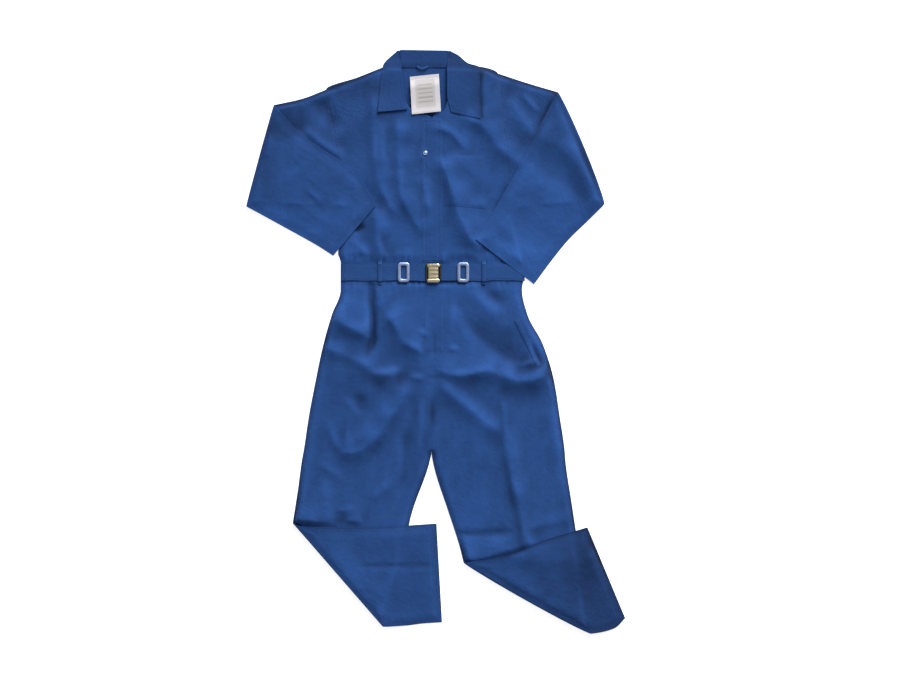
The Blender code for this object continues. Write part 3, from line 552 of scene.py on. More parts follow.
def gathers():
    """Small upright pleats above and below the belt: random waves that die out as exp(-distance)."""
    away = np.maximum(FROM_BELT - BELT_WIDTH / 2, 0)
    return 0.55 * crumple(31, 17.0, math.pi / 2, 5.0) * ramp(away / 5) * np.exp(-away / 22)


def never_sunk(height):
    """Keeps a relief h from sinking into the layer under it: half of h + sqrt(h^2 + 0.16), less 0.2."""
    return 0.5 * (height + np.sqrt(height**2 + 0.16)) - 0.2


def front_map():
    """Relief of the front: the air under it, its folds, its crumple and the gathers at the belt."""
    unevenness = 1 + 0.13 * crumple(5, 110.0)
    soft = 0.5 * crumple(11, 120.0, 1.3, 1.4) + 0.22 * crumple(12, 52.0, 1.3, 2.0)
    soft += 0.07 * crumple(13, 22.0, 1.2, 2.0)
    held = ramp((FROM_BELT - 0.46 * BELT_WIDTH) / 12)
    middle_air = AIR * (0.4 + 0.6 * ramp((FROM_BELT - 20) / 110)) * ramp(DEPTH / AIR_RAMP)
    edge_air = EDGE_AIR * (0.5 + 0.5 * ramp((FROM_BELT - 20) / 30)) * ramp(DEPTH / EDGE_RAMP)
    shape = (folds_of(FRONT_FOLDS) * unevenness + soft) * held + gathers()
    return never_sunk(edge_air + middle_air + ramp(DEPTH / FOLD_RAMP) * shape)


def drape_over(values, rounds, width):
    """A stiffer sheet that rests on a map: repeatedly blurred, and lifted wherever it would sink in."""
    sheet = values
    for _ in range(rounds):
        sheet = np.maximum(values, blur(sheet, width))
    return np.maximum(blur(sheet, width / 2), values)


def flap_map():
    """Further relief of a folded-over end: its own air, folds and crumple."""
    soft = 0.3 * crumple(21, 110.0) + 0.14 * crumple(22, 50.0, 0.8, 1.6) + 0.05 * crumple(23, 22.0)
    return never_sunk(FLAP_AIR * ramp(OVER / 30) + ramp(OVER / 14) * (folds_of(FLAP_FOLDS) + soft))


FRONT = front_map()
STIFF = drape_over(FRONT, 4, 6.0)
DRAPED = drape_over(FRONT, 3, 13.0)
FLAP = flap_map()


# ---- painted light and shade
def patch_of(x, y, wide, tall):
    """A soft spot of a map, from 1 at its middle to 0 far from it."""
    return np.exp(-(((X - x) / wide) ** 2) - ((Y - y) / tall) ** 2)


def spotted(spots):
    """Sum of soft spots of painted light and shade, each as how much paler it is painted, its middle and half
    sizes.
    """
    total = 0 * X
    for tone, x, y, wide, tall in spots:
        total = total + tone * patch_of(x, y, wide, tall)
    return total


def painted_shading_of(relief, painted_patches, depth):
    """Painted light and shade of a relief's cloth: painted highlight on crests, painted shade in creases and
    turned edges.

    Painted crease shade and crest highlight: the relief's rise over its surroundings, from -2 in a deep crease
    to 1.
    """
    # painted shade in creases and painted highlight on crests, from the relief less its blur
    crease_shade_and_crest_light = np.clip((relief - blur(relief, 13.0)) / 1.5, -2, 1)
    return np.maximum(crease_shade_and_crest_light + painted_patches - EDGE_SHADE * np.exp(-np.maximum(depth, 0) / 2.5), DARKEST)


# soft patches of painted light and shade, below 0 painted shade and above 0 painted light: (tone, x, y, half
# width, half height)
FRONT_PAINTED_SPOTS = (
    # shoulders, and the ends of the collar
    (-0.7, 205, 690, 90, 34), (-2.2, 128, 728, 60, 22), (-0.7, -215, 700, 90, 32), (-0.6, -192, 700, 60, 50),
    (-0.5, -319, 656, 70, 40), (-0.8, -289, 678, 40, 20), (-1.2, 124, 594, 20, 20), (-1.0, -148, 602, 30, 14),
    (-0.8, -167, 651, 24, 40), (-1.0, 321, 661, 26, 24),
    # upper arms
    (-1.1, -440, 590, 60, 44), (-1.3, -416, 568, 44, 36), (-1.4, -400, 632, 44, 20), (-0.5, -238, 556, 60, 60),
    (-0.8, -286, 537, 40, 34), (-1.3, 285, 550, 55, 42), (-0.7, 318, 640, 44, 50), (-0.8, 232, 532, 30, 24),
    (-0.8, -335, 567, 30, 26),
    # chest
    (-0.5, -85, 590, 60, 50), (-0.6, -16, 556, 40, 44), (-0.6, -70, 429, 36, 60), (-0.8, -35, 373, 12, 40),
    (-0.9, 73, 500, 24, 24), (0.9, 95, 559, 30, 24), (-0.8, -43, 524, 20, 24), (-0.9, -151, 348, 14, 22),
    (0.9, 175, 215, 80, 50),
    # waist
    (0.3, -20, 195, 180, 40), (0.4, -43, 273, 70, 40), (0.6, -30, 285, 34, 40), (0.5, -110, 313, 40, 40),
    (-0.9, -203, 300, 26, 20), (-0.9, -151, 259, 22, 26), (-0.9, -103, 240, 22, 14), (1.2, -205, 221, 30, 14),
    (0.8, -121, 167, 30, 10),
    # hips, belly and pocket
    (-0.8, -146, 138, 12, 20), (-0.5, -113, 76, 30, 26), (-1.1, -289, 8, 34, 26), (-0.7, -190, 5, 22, 40),
    (-0.6, 151, 122, 34, 26), (-0.5, 103, 35, 24, 26), (-0.9, 160, 8, 58, 44), (-0.5, 194, -11, 34, 34),
    (0.8, 86, -30, 44, 40), (1.1, -32, -46, 34, 22), (-1.5, 259, -62, 24, 24), (-1.3, 273, -62, 16, 16),
    (-1.2, 238, -62, 18, 16), (-3.6, 302, -87, 17, 17), (1.1, 285, -28, 16, 14), (-1.0, -154, 59, 14, 26),
    (-0.9, 182, 60, 26, 34),
    # crotch and thighs
    (1.0, 3, -89, 22, 14), (-0.7, -235, -50, 50, 24), (-0.4, -205, -35, 40, 20), (-0.9, -132, -103, 50, 28),
    (-0.8, -49, -105, 18, 10), (-0.7, -105, -119, 26, 34), (1.3, -14, -135, 12, 30), (-1.7, -11, -196, 7, 36),
    (-0.6, 205, -138, 50, 26), (1.0, 81, -240, 50, 50), (0.8, -221, -310, 30, 20), (-1.0, -51, -375, 20, 60),
    # knees
    (-0.9, -358, -440, 26, 50), (-0.8, -213, -472, 30, 16), (-1.0, -289, -486, 44, 10),
    (-1.3, 359, -467, 22, 50), (-0.6, 235, -510, 34, 40), (-0.8, 251, -510, 26, 30), (0.9, 92, -462, 44, 60),
)
FLAP_PAINTED_SPOTS = (
    # the right forearm, laid over the arm
    (-1.6, -425, 570, 70, 40), (-0.9, -468, 470, 34, 110), (-0.5, -480, 420, 45, 90), (0.9, -262, 359, 34, 26),
    (1.5, -472, 350, 34, 22), (1.5, -428, 334, 40, 22), (1.1, -356, 289, 40, 24),
    # the left forearm
    (-1.1, 325, 625, 40, 60), (-1.2, 290, 545, 50, 42), (-1.4, 402, 480, 34, 110), (0.8, 256, 480, 24, 24),
    (-0.5, 186, 321, 60, 44), (2.0, 176, 238, 76, 26), (1.0, 224, 440, 24, 24), (0.8, 316, 362, 34, 26),
    (-0.9, 321, 661, 26, 24),
    # the shins
    (1.1, -370, -500, 24, 16), (0.8, -254, -632, 60, 50), (1.1, 84, -594, 24, 16), (-0.9, 424, -570, 40, 60),
)
DARKEST = -2.9  # the darkest painted shade, so that no spot turns black
EDGE_SHADE = 1.1 * (
    1 - 0.8 * ramp((np.abs(X) - 60) / 60) * ramp(Y / 50)
    - 0.7 * ramp((X + 10) / 30) * ramp((120 - X) / 30) * ramp((-350 - Y) / 40)
)
# painted light and shade of the front: paler overall, painted shade on shoulders, trousers, shoulder rims and
# in two lines, and the painted spots
FRONT_PAINTED_LIGHT_AND_SHADE = (
    0.15 - 0.6 * ramp((Y - 430) / 220) * ramp((np.abs(X + 20) - 90) / 120)  # darker shoulders
    - 0.5 * ramp((70 - Y) / 160)  # and trousers
    - 1.0 * ramp((Y - 560) / 60) * np.exp(-np.maximum(DEPTH, 0) / 10)  # rims of the shoulders
    # beside the left leaf of the collar, and down the left leg's press crease
    - 2.4 * np.exp(-(((X - 119) / 8) ** 2)) * ramp((Y - 585) / 25) * ramp((755 - Y) / 20)
    - 0.9 * np.exp(-(((X - 184 - 0.215 * (-332 - Y)) / 9) ** 2)) * ramp((-300 - Y) / 60) * ramp((Y + 575) / 20)
    + spotted(FRONT_PAINTED_SPOTS)
)
# painted light and shade of the folded-over ends: shins darker further towards the wearer's left, forearms
# paler towards the cuffs, and the painted spots
SHIN_PAINTED_LIGHT_AND_SHADE = 0.5 * ramp((X - 60) / 20) - 1.2 * ramp((X - 200) / 220) - 0.35 * ramp((40 - X) / 60)
FOREARM_PAINTED_LIGHT_AND_SHADE = 0.4 * ramp((390 - Y) / 60) + 0.5 * patch_of(250, 190, 70, 60)
FLAP_PAINTED_LIGHT_AND_SHADE = ramp((-400 - Y) / 60) * SHIN_PAINTED_LIGHT_AND_SHADE + ramp((Y - 100) / 50) * FOREARM_PAINTED_LIGHT_AND_SHADE + spotted(FLAP_PAINTED_SPOTS)
# painted light and shade of the front and of the folded-over ends, edge and crease shade included
FRONT_PAINTED_SHADING = painted_shading_of(FRONT, FRONT_PAINTED_LIGHT_AND_SHADE, DEPTH)
FLAP_PAINTED_SHADING = painted_shading_of(DRAPED + FLAP, FLAP_PAINTED_LIGHT_AND_SHADE, OVER)


# ---- materials
def new_material(name, roughness, colour, metallic=0.0, **sockets):
    """A material with its Principled shader; the other sockets are set by name."""
    material = bpy.data.materials.new(name)
    material.use_nodes = True
    shader = material.node_tree.nodes["Principled BSDF"]
    shader.inputs["Base Color"].default_value = (*colour, 1.0)
    shader.inputs["Roughness"].default_value = roughness
    shader.inputs["Metallic"].default_value = metallic
    for key, value in sockets.items():
        shader.inputs[key.replace("_", " ")].default_value = value
    return material, material.node_tree, shader


def add_node(tree, kind, inputs=None, **settings):
    """A node of a kind, with its settings, and its inputs set or linked."""
    node = tree.nodes.new("ShaderNode" + kind)
    for key, value in settings.items():
        setattr(node, key, value)
    for key, value in (inputs or {}).items():
        if isinstance(value, bpy.types.NodeSocket):
            tree.links.new(value, node.inputs[key])
        else:
            node.inputs[key].default_value = value
    return node


def maths(tree, operation, *values):
    """The result of one Math node."""
    return add_node(tree, "Math", dict(enumerate(values)), operation=operation).outputs[0]


def noise(tree, vector, scale, detail, **more):
    """Noise at a scale, over some coordinates."""
    inputs = {"Vector": vector, "Scale": scale, "Detail": detail, **more}
    return add_node(tree, "TexNoise", inputs).outputs["Fac"]


def stretched(tree, vector, **inputs):
    """Coordinates turned or scaled."""
    return add_node(tree, "Mapping", {"Vector": vector, **inputs}).outputs[0]


def bumped(tree, height, distance, strength, **under):
    """The normal of a bump in metres, which may lie on another bump."""
    inputs = {"Height": height, "Distance": distance, "Strength": strength, **under}
    return add_node(tree, "Bump", inputs).outputs[0]


def colour_by(tree, shader, colour, light):
    """Makes the base colour a colour times a light."""
    scaled = add_node(tree, "VectorMath", {0: colour, "Scale": light}, operation="SCALE")
    tree.links.new(scaled.outputs[0], shader.inputs["Base Color"])


def twill(name, colour):
    """Blue work twill: diagonal ribs, uneven yarns, faint clouding, and painted light and shade on crests and
    creases.
    """
    material, tree, shader = new_material(
        name, 0.86, colour, Sheen_Weight=0.06, Sheen_Roughness=0.45, Sheen_Tint=(0.35, 0.5, 1.0, 1.0),
        Specular_IOR_Level=0.15,
    )
    cloth = add_node(tree, "UVMap", uv_map="cloth").outputs["UV"]
    turned = stretched(tree, cloth, Rotation=(0, 0, math.radians(27)))
    waves = {"Vector": turned, "Scale": 250.0, "Distortion": 0.7, "Detail": 1.0, "Detail Scale": 1.5}
    ribs = add_node(tree, "TexWave", waves).outputs["Fac"]
    yarns = noise(tree, stretched(tree, cloth, Scale=(900.0, 22.0, 1.0)), 1.0, 2.0)
    clouds, grain = noise(tree, cloth, 11.0, 3.0), noise(tree, cloth, 260.0, 2.0)
    # the point value of painted light and shade makes the colour paler or darker
    tone = add_node(tree, "Attribute", attribute_name="tone").outputs["Fac"]
    light = maths(tree, "MULTIPLY_ADD", tone, 0.24, 1.0)
    for pattern, strength in ((ribs, 0.10), (yarns, 0.16), (clouds, 0.12), (grain, 0.14)):
        light = maths(tree, "MULTIPLY_ADD", maths(tree, "SUBTRACT", pattern, 0.5), strength, light)
    colour_by(tree, shader, colour, light)
    relief = bumped(tree, ribs, 0.00016, 0.6)
    relief = bumped(tree, yarns, 0.00022, 0.5, Normal=relief)
    relief = bumped(tree, noise(tree, cloth, 62.0, 3.0, Roughness=0.6), 0.0016, 0.6, Normal=relief)
    tree.links.new(relief, shader.inputs["Normal"])
    return material


def label_tape():
    """Off-white woven tape with a plain greyish panel, a fine plain weave and soft shading."""
    pale, printed_on = (0.52, 0.50, 0.52), (0.22, 0.20, 0.17, 1.0)
    material, tree, shader = new_material("label_tape", 0.8, pale, Specular_IOR_Level=0.25)
    cloth = add_node(tree, "UVMap", uv_map="cloth").outputs["UV"]
    printed = add_node(tree, "Attribute", attribute_name="printed").outputs["Fac"]
    colours = add_node(tree, "Mix", {"Factor": printed}, data_type="RGBA")
    colours.inputs["A"].default_value = (*pale, 1.0)
    colours.inputs["B"].default_value = printed_on
    tree.links.new(colours.outputs["Result"], shader.inputs["Base Color"])
    tree.links.new(bumped(tree, noise(tree, cloth, 900.0, 1.0), 0.0002, 0.5), shader.inputs["Normal"])
    return material


def plated(name, colour, roughness):
    """Plated metal with fine brushed scratches and a slightly uneven gloss."""
    material, tree, shader = new_material(name, roughness, colour, 1.0)
    place = add_node(tree, "TexCoord").outputs["Object"]
    lines = noise(tree, stretched(tree, place, Scale=(4200.0, 260.0, 600.0)), 1.0, 2.0)
    spots = noise(tree, place, 320.0, 3.0)
    tree.links.new(maths(tree, "MULTIPLY_ADD", spots, 0.28, roughness - 0.14), shader.inputs["Roughness"])
    colour_by(tree, shader, colour, maths(tree, "MULTIPLY_ADD", spots, 0.5, 0.75))
    tree.links.new(bumped(tree, lines, 0.00008, 0.4), shader.inputs["Normal"])
    return material


def sewing_thread():
    """Blue polyester thread with a faint twist."""
    material, tree, shader = new_material("sewing_thread", 0.7, (0.017, 0.059, 0.195), Sheen_Weight=0.2)
    place = add_node(tree, "TexCoord").outputs["Object"]
    tree.links.new(bumped(tree, noise(tree, place, 2200.0, 1.0), 0.0001, 0.6), shader.inputs["Normal"])
    return material


# what a piece is made of: its material, and the slot that goes with it
SUIT = (twill("suit_twill", (0.0160, 0.0600, 0.211)), "suit_cloth")
WEBBING = (twill("belt_twill", (0.0146, 0.056, 0.190)), "belt_cloth")
TAPE = (label_tape(), "label_cloth")
THREAD = sewing_thread()
# the nickel's blue is a painted reflection of the blue belt and suit around it
NICKEL = (plated("nickel_painted_blue_reflection", (0.36, 0.46, 0.70), 0.50), "bright_steel")
PALE_BRASS = (plated("pale_brass", (0.74, 0.66, 0.46), 0.36), "clasp_brass")
# near-black brass of the clasp's catch frame: painted shade of the slots beside the plate
SHADE_PAINTED_BRASS = (plated("brass_painted_shade", (0.07, 0.055, 0.04), 0.5), "dark_brass")


# ---- meshes
def put(name, data):
    """A new object of the scene."""
    thing = bpy.data.objects.new(name, data)
    bpy.context.scene.collection.objects.link(thing)
    return thing


def grid_faces(rows, columns, closed=False):
    """Quads of a grid of rows x columns points, whose columns may close on each other."""
    i, j = np.meshgrid(np.arange(rows - 1), np.arange(columns if closed else columns - 1), indexing="ij")
    a, b = i * columns + j, i * columns + (j + 1) % columns
    return np.stack([a, b, b + columns, a + columns], -1).reshape(-1, 4)


def facing_out(vertices, faces):
    """The faces of a closed mesh, all turned round if its signed volume is negative."""
    corners = vertices[faces] - vertices.mean(axis=0)
    volume = 0.0
    for k in range(1, faces.shape[1] - 1):
        volume += np.einsum("ij,ij->", corners[:, 0], np.cross(corners[:, k], corners[:, k + 1]))
    return faces if volume > 0 else faces[:, ::-1]


def mesh_piece(name, vertices, faces, stuff, uv=None, values=None, crease=40):
    """One piece from millimetre vertices and faces, with its cloth coordinates and point values."""
    material, slot = stuff
    vertices = np.asarray(vertices, float)
    faces = facing_out(vertices, np.asarray(faces))
    placed = (vertices - np.array([*LAY_CENTRE, 0.0])) / 1000
    mesh = bpy.data.meshes.new(name)
    mesh.vertices.add(len(placed))
    mesh.vertices.foreach_set("co", placed.ravel())
    mesh.loops.add(faces.size)
    mesh.loops.foreach_set("vertex_index", faces.ravel().astype(np.int32))
    mesh.polygons.add(len(faces))
    mesh.polygons.foreach_set("loop_start", np.arange(0, faces.size, faces.shape[1], dtype=np.int32))
    mesh.update(calc_edges=True)
    if uv is not None:
        layer = mesh.uv_layers.new(name="cloth")
        layer.data.foreach_set("uv", (np.asarray(uv)[faces.ravel()] / 1000).ravel().astype(np.float32))
    for key, numbers in (values or {}).items():
        attribute = mesh.attributes.new(key, "FLOAT", "POINT")
        attribute.data.foreach_set("value", np.asarray(numbers, np.float32).ravel())
    mesh.validate()
    mesh.shade_smooth()
    mesh.set_sharp_from_angle(angle=math.radians(crease))
    mesh.materials.append(material)
    piece = put(name, mesh)
    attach(piece, "root")
    return piece


def cloth_coordinates(points):
    """Distances across and along a grid of cloth, both measured through its middle, as a UV grid."""
    rows, columns = points.shape[:2]
    along = chord_lengths(points[:, columns // 2])
    across_it = norm(np.diff(points, axis=1)).cumsum(axis=1)
    u = np.concatenate([np.zeros((rows, 1)), across_it], axis=1)
    u = u - u[:, columns // 2][:, None]
    return np.stack([u, np.broadcast_to(along[:, None], u.shape)], axis=-1)


def declare_cloth(node):
    """Hides the solid of the model that a cloth stands for."""
    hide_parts(node)


def wall(name, low, high, stuff, **values):
    """A closed wall between two grids of points, one on each face of the cloth."""
    rows, columns = low.shape[:2]
    count = rows * columns
    faces = grid_faces(rows, columns)
    j, i = np.arange(columns), np.arange(rows)
    rim = [j, i[1:] * columns + columns - 1, (rows - 1) * columns + j[-2::-1], i[-2:0:-1] * columns]
    rim = np.concatenate(rim)
    after = np.roll(rim, -1)
    sides = np.stack([rim, after, after + count, rim + count], -1)
    uv = cloth_coordinates(high).reshape(-1, 2)
    return mesh_piece(
        name, np.vstack([low.reshape(-1, 3), high.reshape(-1, 3)]),
        np.vstack([faces[:, ::-1], faces + count, sides]), stuff, np.vstack([uv, uv]),
        {key: np.concatenate([v.ravel(), v.ravel()]) for key, v in values.items()},
    )


def at_height(plan, height):
    """Grid of points over a plan at a height, which may differ from point to point."""
    return np.concatenate([plan, np.broadcast_to(height, plan.shape[:2])[..., None]], axis=-1)


def lay(node, plan, low, high, tone, stuff=SUIT):
    """A laid cloth over a plan, between two heights."""
    piece = wall(f"{node}_cloth", at_height(plan, low), at_height(plan, high), stuff, tone=tone)
    declare_cloth(node)


# ---- folded limbs
def folded_plan(limb, cell, axis, fractions):
    """Plan of a folded limb's grid, the turn of each row, and the direction out of its fold.

    Rows run to the fold, stay on its axis through half a turn, and run on to the end. The fold's
    line is bowed outwards, which dies out on both sides of it.
    """
    outer_a, inner_a = smooth_edges(limb.before, cell)
    outer_b, inner_b = smooth_edges(limb.after, cell)
    line = inner_a[-1] - outer_a[-1]
    normal = np.array([line[1], -line[0]]) / np.linalg.norm(line)
    if normal @ (outer_a[-1] + inner_a[-1] - outer_a[-2] - inner_a[-2]) < 0:
        normal = -normal
    for rows in (outer_a, inner_a):
        rows[-1] -= normal * axis
    for rows in (outer_b, inner_b):
        rows[0] -= normal * axis
    turning = np.linspace(0, math.pi, TURN_STEPS + 1)[1:-1]
    outer = np.vstack([outer_a, np.repeat(outer_a[-1:], len(turning), 0), outer_b])
    inner = np.vstack([inner_a, np.repeat(inner_a[-1:], len(turning), 0), inner_b])
    turn = np.concatenate([np.zeros(len(outer_a)), turning, np.full(len(outer_b), math.pi)])
    before = np.linspace(len(outer_a) - 1, 0, len(outer_a)) * cell
    past = np.linspace(0, len(outer_b) - 1, len(outer_b)) * cell
    from_fold = np.concatenate([before, np.zeros(len(turning)), past])
    bow = limb.bow * (1 - ramp(from_fold / 95))[:, None] * (4 * fractions * (1 - fractions)) ** 0.6
    return across(outer, inner, fractions) + bow[..., None] * normal, turn, normal


def folded(plan, height, turn, normal, axis):
    """Points at a height above the floor before the fold, carried round the fold's axis."""
    radius = axis - np.broadcast_to(height, plan.shape[:2])
    out = radius * np.sin(turn)[:, None]
    return at_height(plan + out[..., None] * normal, axis - radius * np.cos(turn)[:, None])


def past_fold(points, limb, normal):
    """How far points lie past a limb's fold, on the side of its folded-over end."""
    x, y = limb.after[0, :2]
    return -((points[..., 0] - x) * normal[0] + (points[..., 1] - y) * normal[1])


def lay_limb(points, limb, normal):
    """Raises the layers of a limb by the relief under them and settles its folded-over end.

    The front rises by FRONT, the folded-over layers by DRAPED and the one that shows by FLAP too.
    Past the fold they sink by the limb's settle, and where nothing lies under them to the floor.
    """
    z = points[..., 2]
    front, draped, flap = (read_map(values, points) for values in (FRONT, DRAPED, FLAP))
    past = past_fold(points, limb, normal)
    settled = limb.settle * ramp(past / SETTLE_RUN)
    sink = settled + (SINK - settled) * ramp(-read_map(DEPTH, points) / SINK_RAMP)
    on_front = ramp((z - BACK_TOP) / (FRONT_BASE - BACK_TOP))
    on_limb = ramp((z - FOLDED_Z) / FOLDED_RUN)
    on_flap = ramp((z - SHOWING_Z) / SHOWING_RUN)
    pressed = PRESSED * (1 - ramp(read_map(OVER, points) / 25)) * ramp(past / 20)
    laid = points.copy()
    laid[..., 2] = z + on_front * front + on_limb * (draped - front - sink) + on_flap * (flap - pressed)
    return laid


def limb_painted_shading(points, limb, normal):
    """Painted light and shade of a limb's showing faces, with the limb's own on its folded-over end."""
    over = ramp((points[..., 2] - 4) / 3)
    shown = read_map(FRONT_PAINTED_SHADING, points) * (1 - over) + read_map(FLAP_PAINTED_SHADING, points) * over
    return shown + limb.tone * over * ramp(past_fold(points, limb, normal) / 12)


def leg_panel(node, limb, low, high):
    """The front or back of one leg, between two heights above the floor before the fold."""
    plan, turn, normal = folded_plan(limb, CELL, FOLD_AXIS, spread(280.0, CELL))
    low_flat, high_flat = (folded(plan, h, turn, normal, FOLD_AXIS) for h in (low, high))
    low_laid, high_laid = lay_limb(low_flat, limb, normal), lay_limb(high_flat, limb, normal)
    piece = wall(f"{node}_cloth", low_laid, high_laid, SUIT, tone=limb_painted_shading(high_flat, limb, normal))
    declare_cloth(node)
    return low_laid, high_laid


def sleeve_ring(limb, inset, low, high):
    """Grid of a flattened tube at an inset from its edges, its fold's direction and half its columns.

    Round each row it runs along the floor side, up the edge and back along the front.
    """
    inner = spread(SLEEVE_SPAN, CELL, (0.0, 2.5)) * (SLEEVE_SPAN - 2 * inset - 1.6)
    inner = (inner + inset + 0.8) / SLEEVE_SPAN
    round_it = np.concatenate([inner, [1 - inset / SLEEVE_SPAN], inner[::-1], [inset / SLEEVE_SPAN]])
    count = len(inner)
    heights = np.concatenate([np.full(count, low), [EDGE_Z], np.full(count, high), [EDGE_Z]])
    plan, turn, normal = folded_plan(limb, CELL, FOLD_AXIS, round_it)
    plan[0] += normal * SEAM
    return folded(plan, heights[None, :], turn, normal, FOLD_AXIS), normal, count


def sleeve(limb):
    """A folded sleeve: one flattened tube, open at both ends, with an outside and an inside."""
    outside, normal, count = sleeve_ring(limb, 0.0, 0.0, FRONT_TOP)
    inside = sleeve_ring(limb, CLOTH, BACK_TOP, FRONT_BASE)[0]
    rows, size = outside.shape[:2]
    shift = rows * size
    faces = grid_faces(rows, size, closed=True)
    ends = []
    for start, last in ((0, False), ((rows - 1) * size, True)):
        a = start + np.arange(size)
        b = start + (np.arange(size) + 1) % size
        ends.append(np.stack([a, b, b + shift, a + shift] if last else [b, a, a + shift, b + shift], -1))
    laid_out, laid_in = lay_limb(outside, limb, normal), lay_limb(inside, limb, normal)
    u = norm(np.diff(outside, axis=1, append=outside[:, :1])).cumsum(axis=1)
    along = chord_lengths(outside[:, size // 4])
    uv = np.stack([u, np.broadcast_to(along[:, None], u.shape)], -1).reshape(-1, 2)
    tone = limb_painted_shading(outside, limb, normal).ravel()
    piece = mesh_piece(
        f"{limb.name}_cloth", np.vstack([laid_out.reshape(-1, 3), laid_in.reshape(-1, 3)]),
        np.vstack([faces, faces[:, ::-1] + shift, *ends]), SUIT,
        np.vstack([uv, uv]), {"tone": np.concatenate([tone, tone])},
    )
    declare_cloth(limb.name)
    return laid_out[:, :count], laid_out[:, count + 1:2 * count + 1]


# ---- sewn patches that lie on a panel
FINE_EDGE = (0.0, 0.8, 1.8, 3.0, 4.2, 5.4, 6.8, 8.4)


def turned_height(plan, thickness, stitch_lines):
    """Thickness of a doubled, turned and stitched patch at each point of its plan.

    It rises from a rounded edge, swells a little away from it, and dips along each stitch line.
    """
    boundary = np.vstack([plan[0], plan[1:, -1], plan[-1, -2::-1], plan[-2:0:-1, 0]])
    in_from_edge = np.maximum(inside_distance(plan[..., 0], plan[..., 1], boundary), 0)
    height = thickness * (0.62 + 0.38 * (1 - np.exp(-in_from_edge / 0.9)))
    height = height + 0.35 * (1 - np.exp(-in_from_edge / 7))
    for line in stitch_lines:
        height -= 0.42 * np.exp(-(((in_from_edge - line) / 1.1) ** 2))
    return height


def sewn_patch(
    node, plan, base, thickness, stitch_lines=(), under=FRONT, stuff=SUIT, lift=0.0, tone=0.0
):
    """A patch over a plan grid, on a map's relief, with turned edges and stitch grooves."""
    low = base + (read_map(under, plan) + lift)
    high = low + turned_height(plan, thickness, stitch_lines)
    # a patch carries half the painted light and shade of the front under it, plus its own
    lay(node, plan, low, high, read_map(FRONT_PAINTED_SHADING, plan) * 0.5 + tone, stuff)
    return at_height(plan, high)


def box_plan(x_start, x_end, y_start, y_end):
    """Plan grid of an upright rectangle, with close steps at its edges."""
    x = x_start + (x_end - x_start) * spread(x_end - x_start, CELL, FINE_EDGE)
    y = y_start + (y_end - y_start) * spread(y_end - y_start, CELL, FINE_EDGE)
    return np.stack(np.meshgrid(x, y, indexing="xy"), axis=-1)


# ---- stitches
Stitches = namedtuple("Stitches", "pitch length width height")
TOPSTITCH = Stitches(3.6, 2.9, 0.75, 0.34)
LABEL_STITCH = Stitches(2.6, 2.1, 0.5, 0.25)


def column_line(points, inset, from_last=False, rows=(0.0, 1.0)):
    """Line along a grid at a distance in from its first or last column."""
    grid = points[:, ::-1] if from_last else points
    first, last = (round(r * (len(grid) - 1)) for r in rows)
    reach = norm(np.diff(grid, axis=1)).cumsum(axis=1)
    at = np.arange(first, last + 1)
    picked = [np.interp(inset, np.concatenate([[0], reach[i]]), np.arange(grid.shape[1])) for i in at]
    return between(grid, at.astype(float), np.array(picked))


def row_line(points, inset, from_last=False, columns=(0.0, 1.0)):
    """Line across a grid at a distance in from its first or last row."""
    return column_line(points.transpose(1, 0, 2), inset, from_last, columns)


def both_sides(points, inset):
    """Lines along a grid at a distance in from its first and its last column."""
    return [column_line(points, inset), column_line(points, inset, True)]


def stitching(name, lines, stuff=(THREAD, "suit_cloth"), kind=TOPSTITCH):
    """One piece that holds many rows of stitches.

    Each stitch is a spindle: two ends sunk in the cloth and a ring of four points at its middle.
    """
    middles, directions = [], []
    for line in lines:
        places = chord_lengths(line)
        if places[-1] < kind.pitch:
            continue
        at = np.arange(kind.pitch / 2, places[-1], kind.pitch)
        middle, ahead, behind = (
            np.column_stack([np.interp(at + shift, places, line[:, k]) for k in range(3)])
            for shift in (0.0, 0.6, -0.6)
        )
        middles.append(middle)
        directions.append((ahead - behind) / np.linalg.norm(ahead - behind, axis=1, keepdims=True))
    middle, along = np.vstack(middles), np.vstack(directions)
    side = np.cross(along, [0.0, 0.0, 1.0])
    side /= np.maximum(np.linalg.norm(side, axis=1, keepdims=True), 1e-6)
    up = np.cross(side, along)
    half, wide, tall = kind.length / 2, kind.width / 2, kind.height
    ring = [up * tall, side * wide, -up * 0.25, -side * wide]
    tips = [-along * half - up * 0.12, along * half - up * 0.12]
    vertices = np.stack([middle + offset for offset in tips + ring], axis=1).reshape(-1, 3)
    pattern = []
    for k in range(4):
        a, b = 2 + k, 2 + (k + 1) % 4
        pattern += [(0, a, b), (1, b, a)]
    faces = (np.array(pattern)[None] + 6 * np.arange(len(middle))[:, None, None]).reshape(-1, 3)
    mesh_piece(name, vertices, faces, stuff, crease=180)


# ---- bodice and sleeves
def front_panel(side, table):
    """One front of the bodice, which lies on the back and is turned at its two long edges."""
    plan = plan_of(table, CELL, spread(240.0, CELL))
    relief = read_map(FRONT, plan)
    high = at_height(plan, FRONT_BASE + CLOTH + relief)
    from_edge = np.minimum(norm(high - high[:, :1]), norm(high - high[:, -1:]))
    high[..., 2] -= 0.5 * np.exp(-from_edge / 1.6)
    tone = read_map(FRONT_PAINTED_SHADING, plan)
    lay(f"front_bodice_{side}", plan, FRONT_BASE + relief, high[..., 2], tone)
    return high


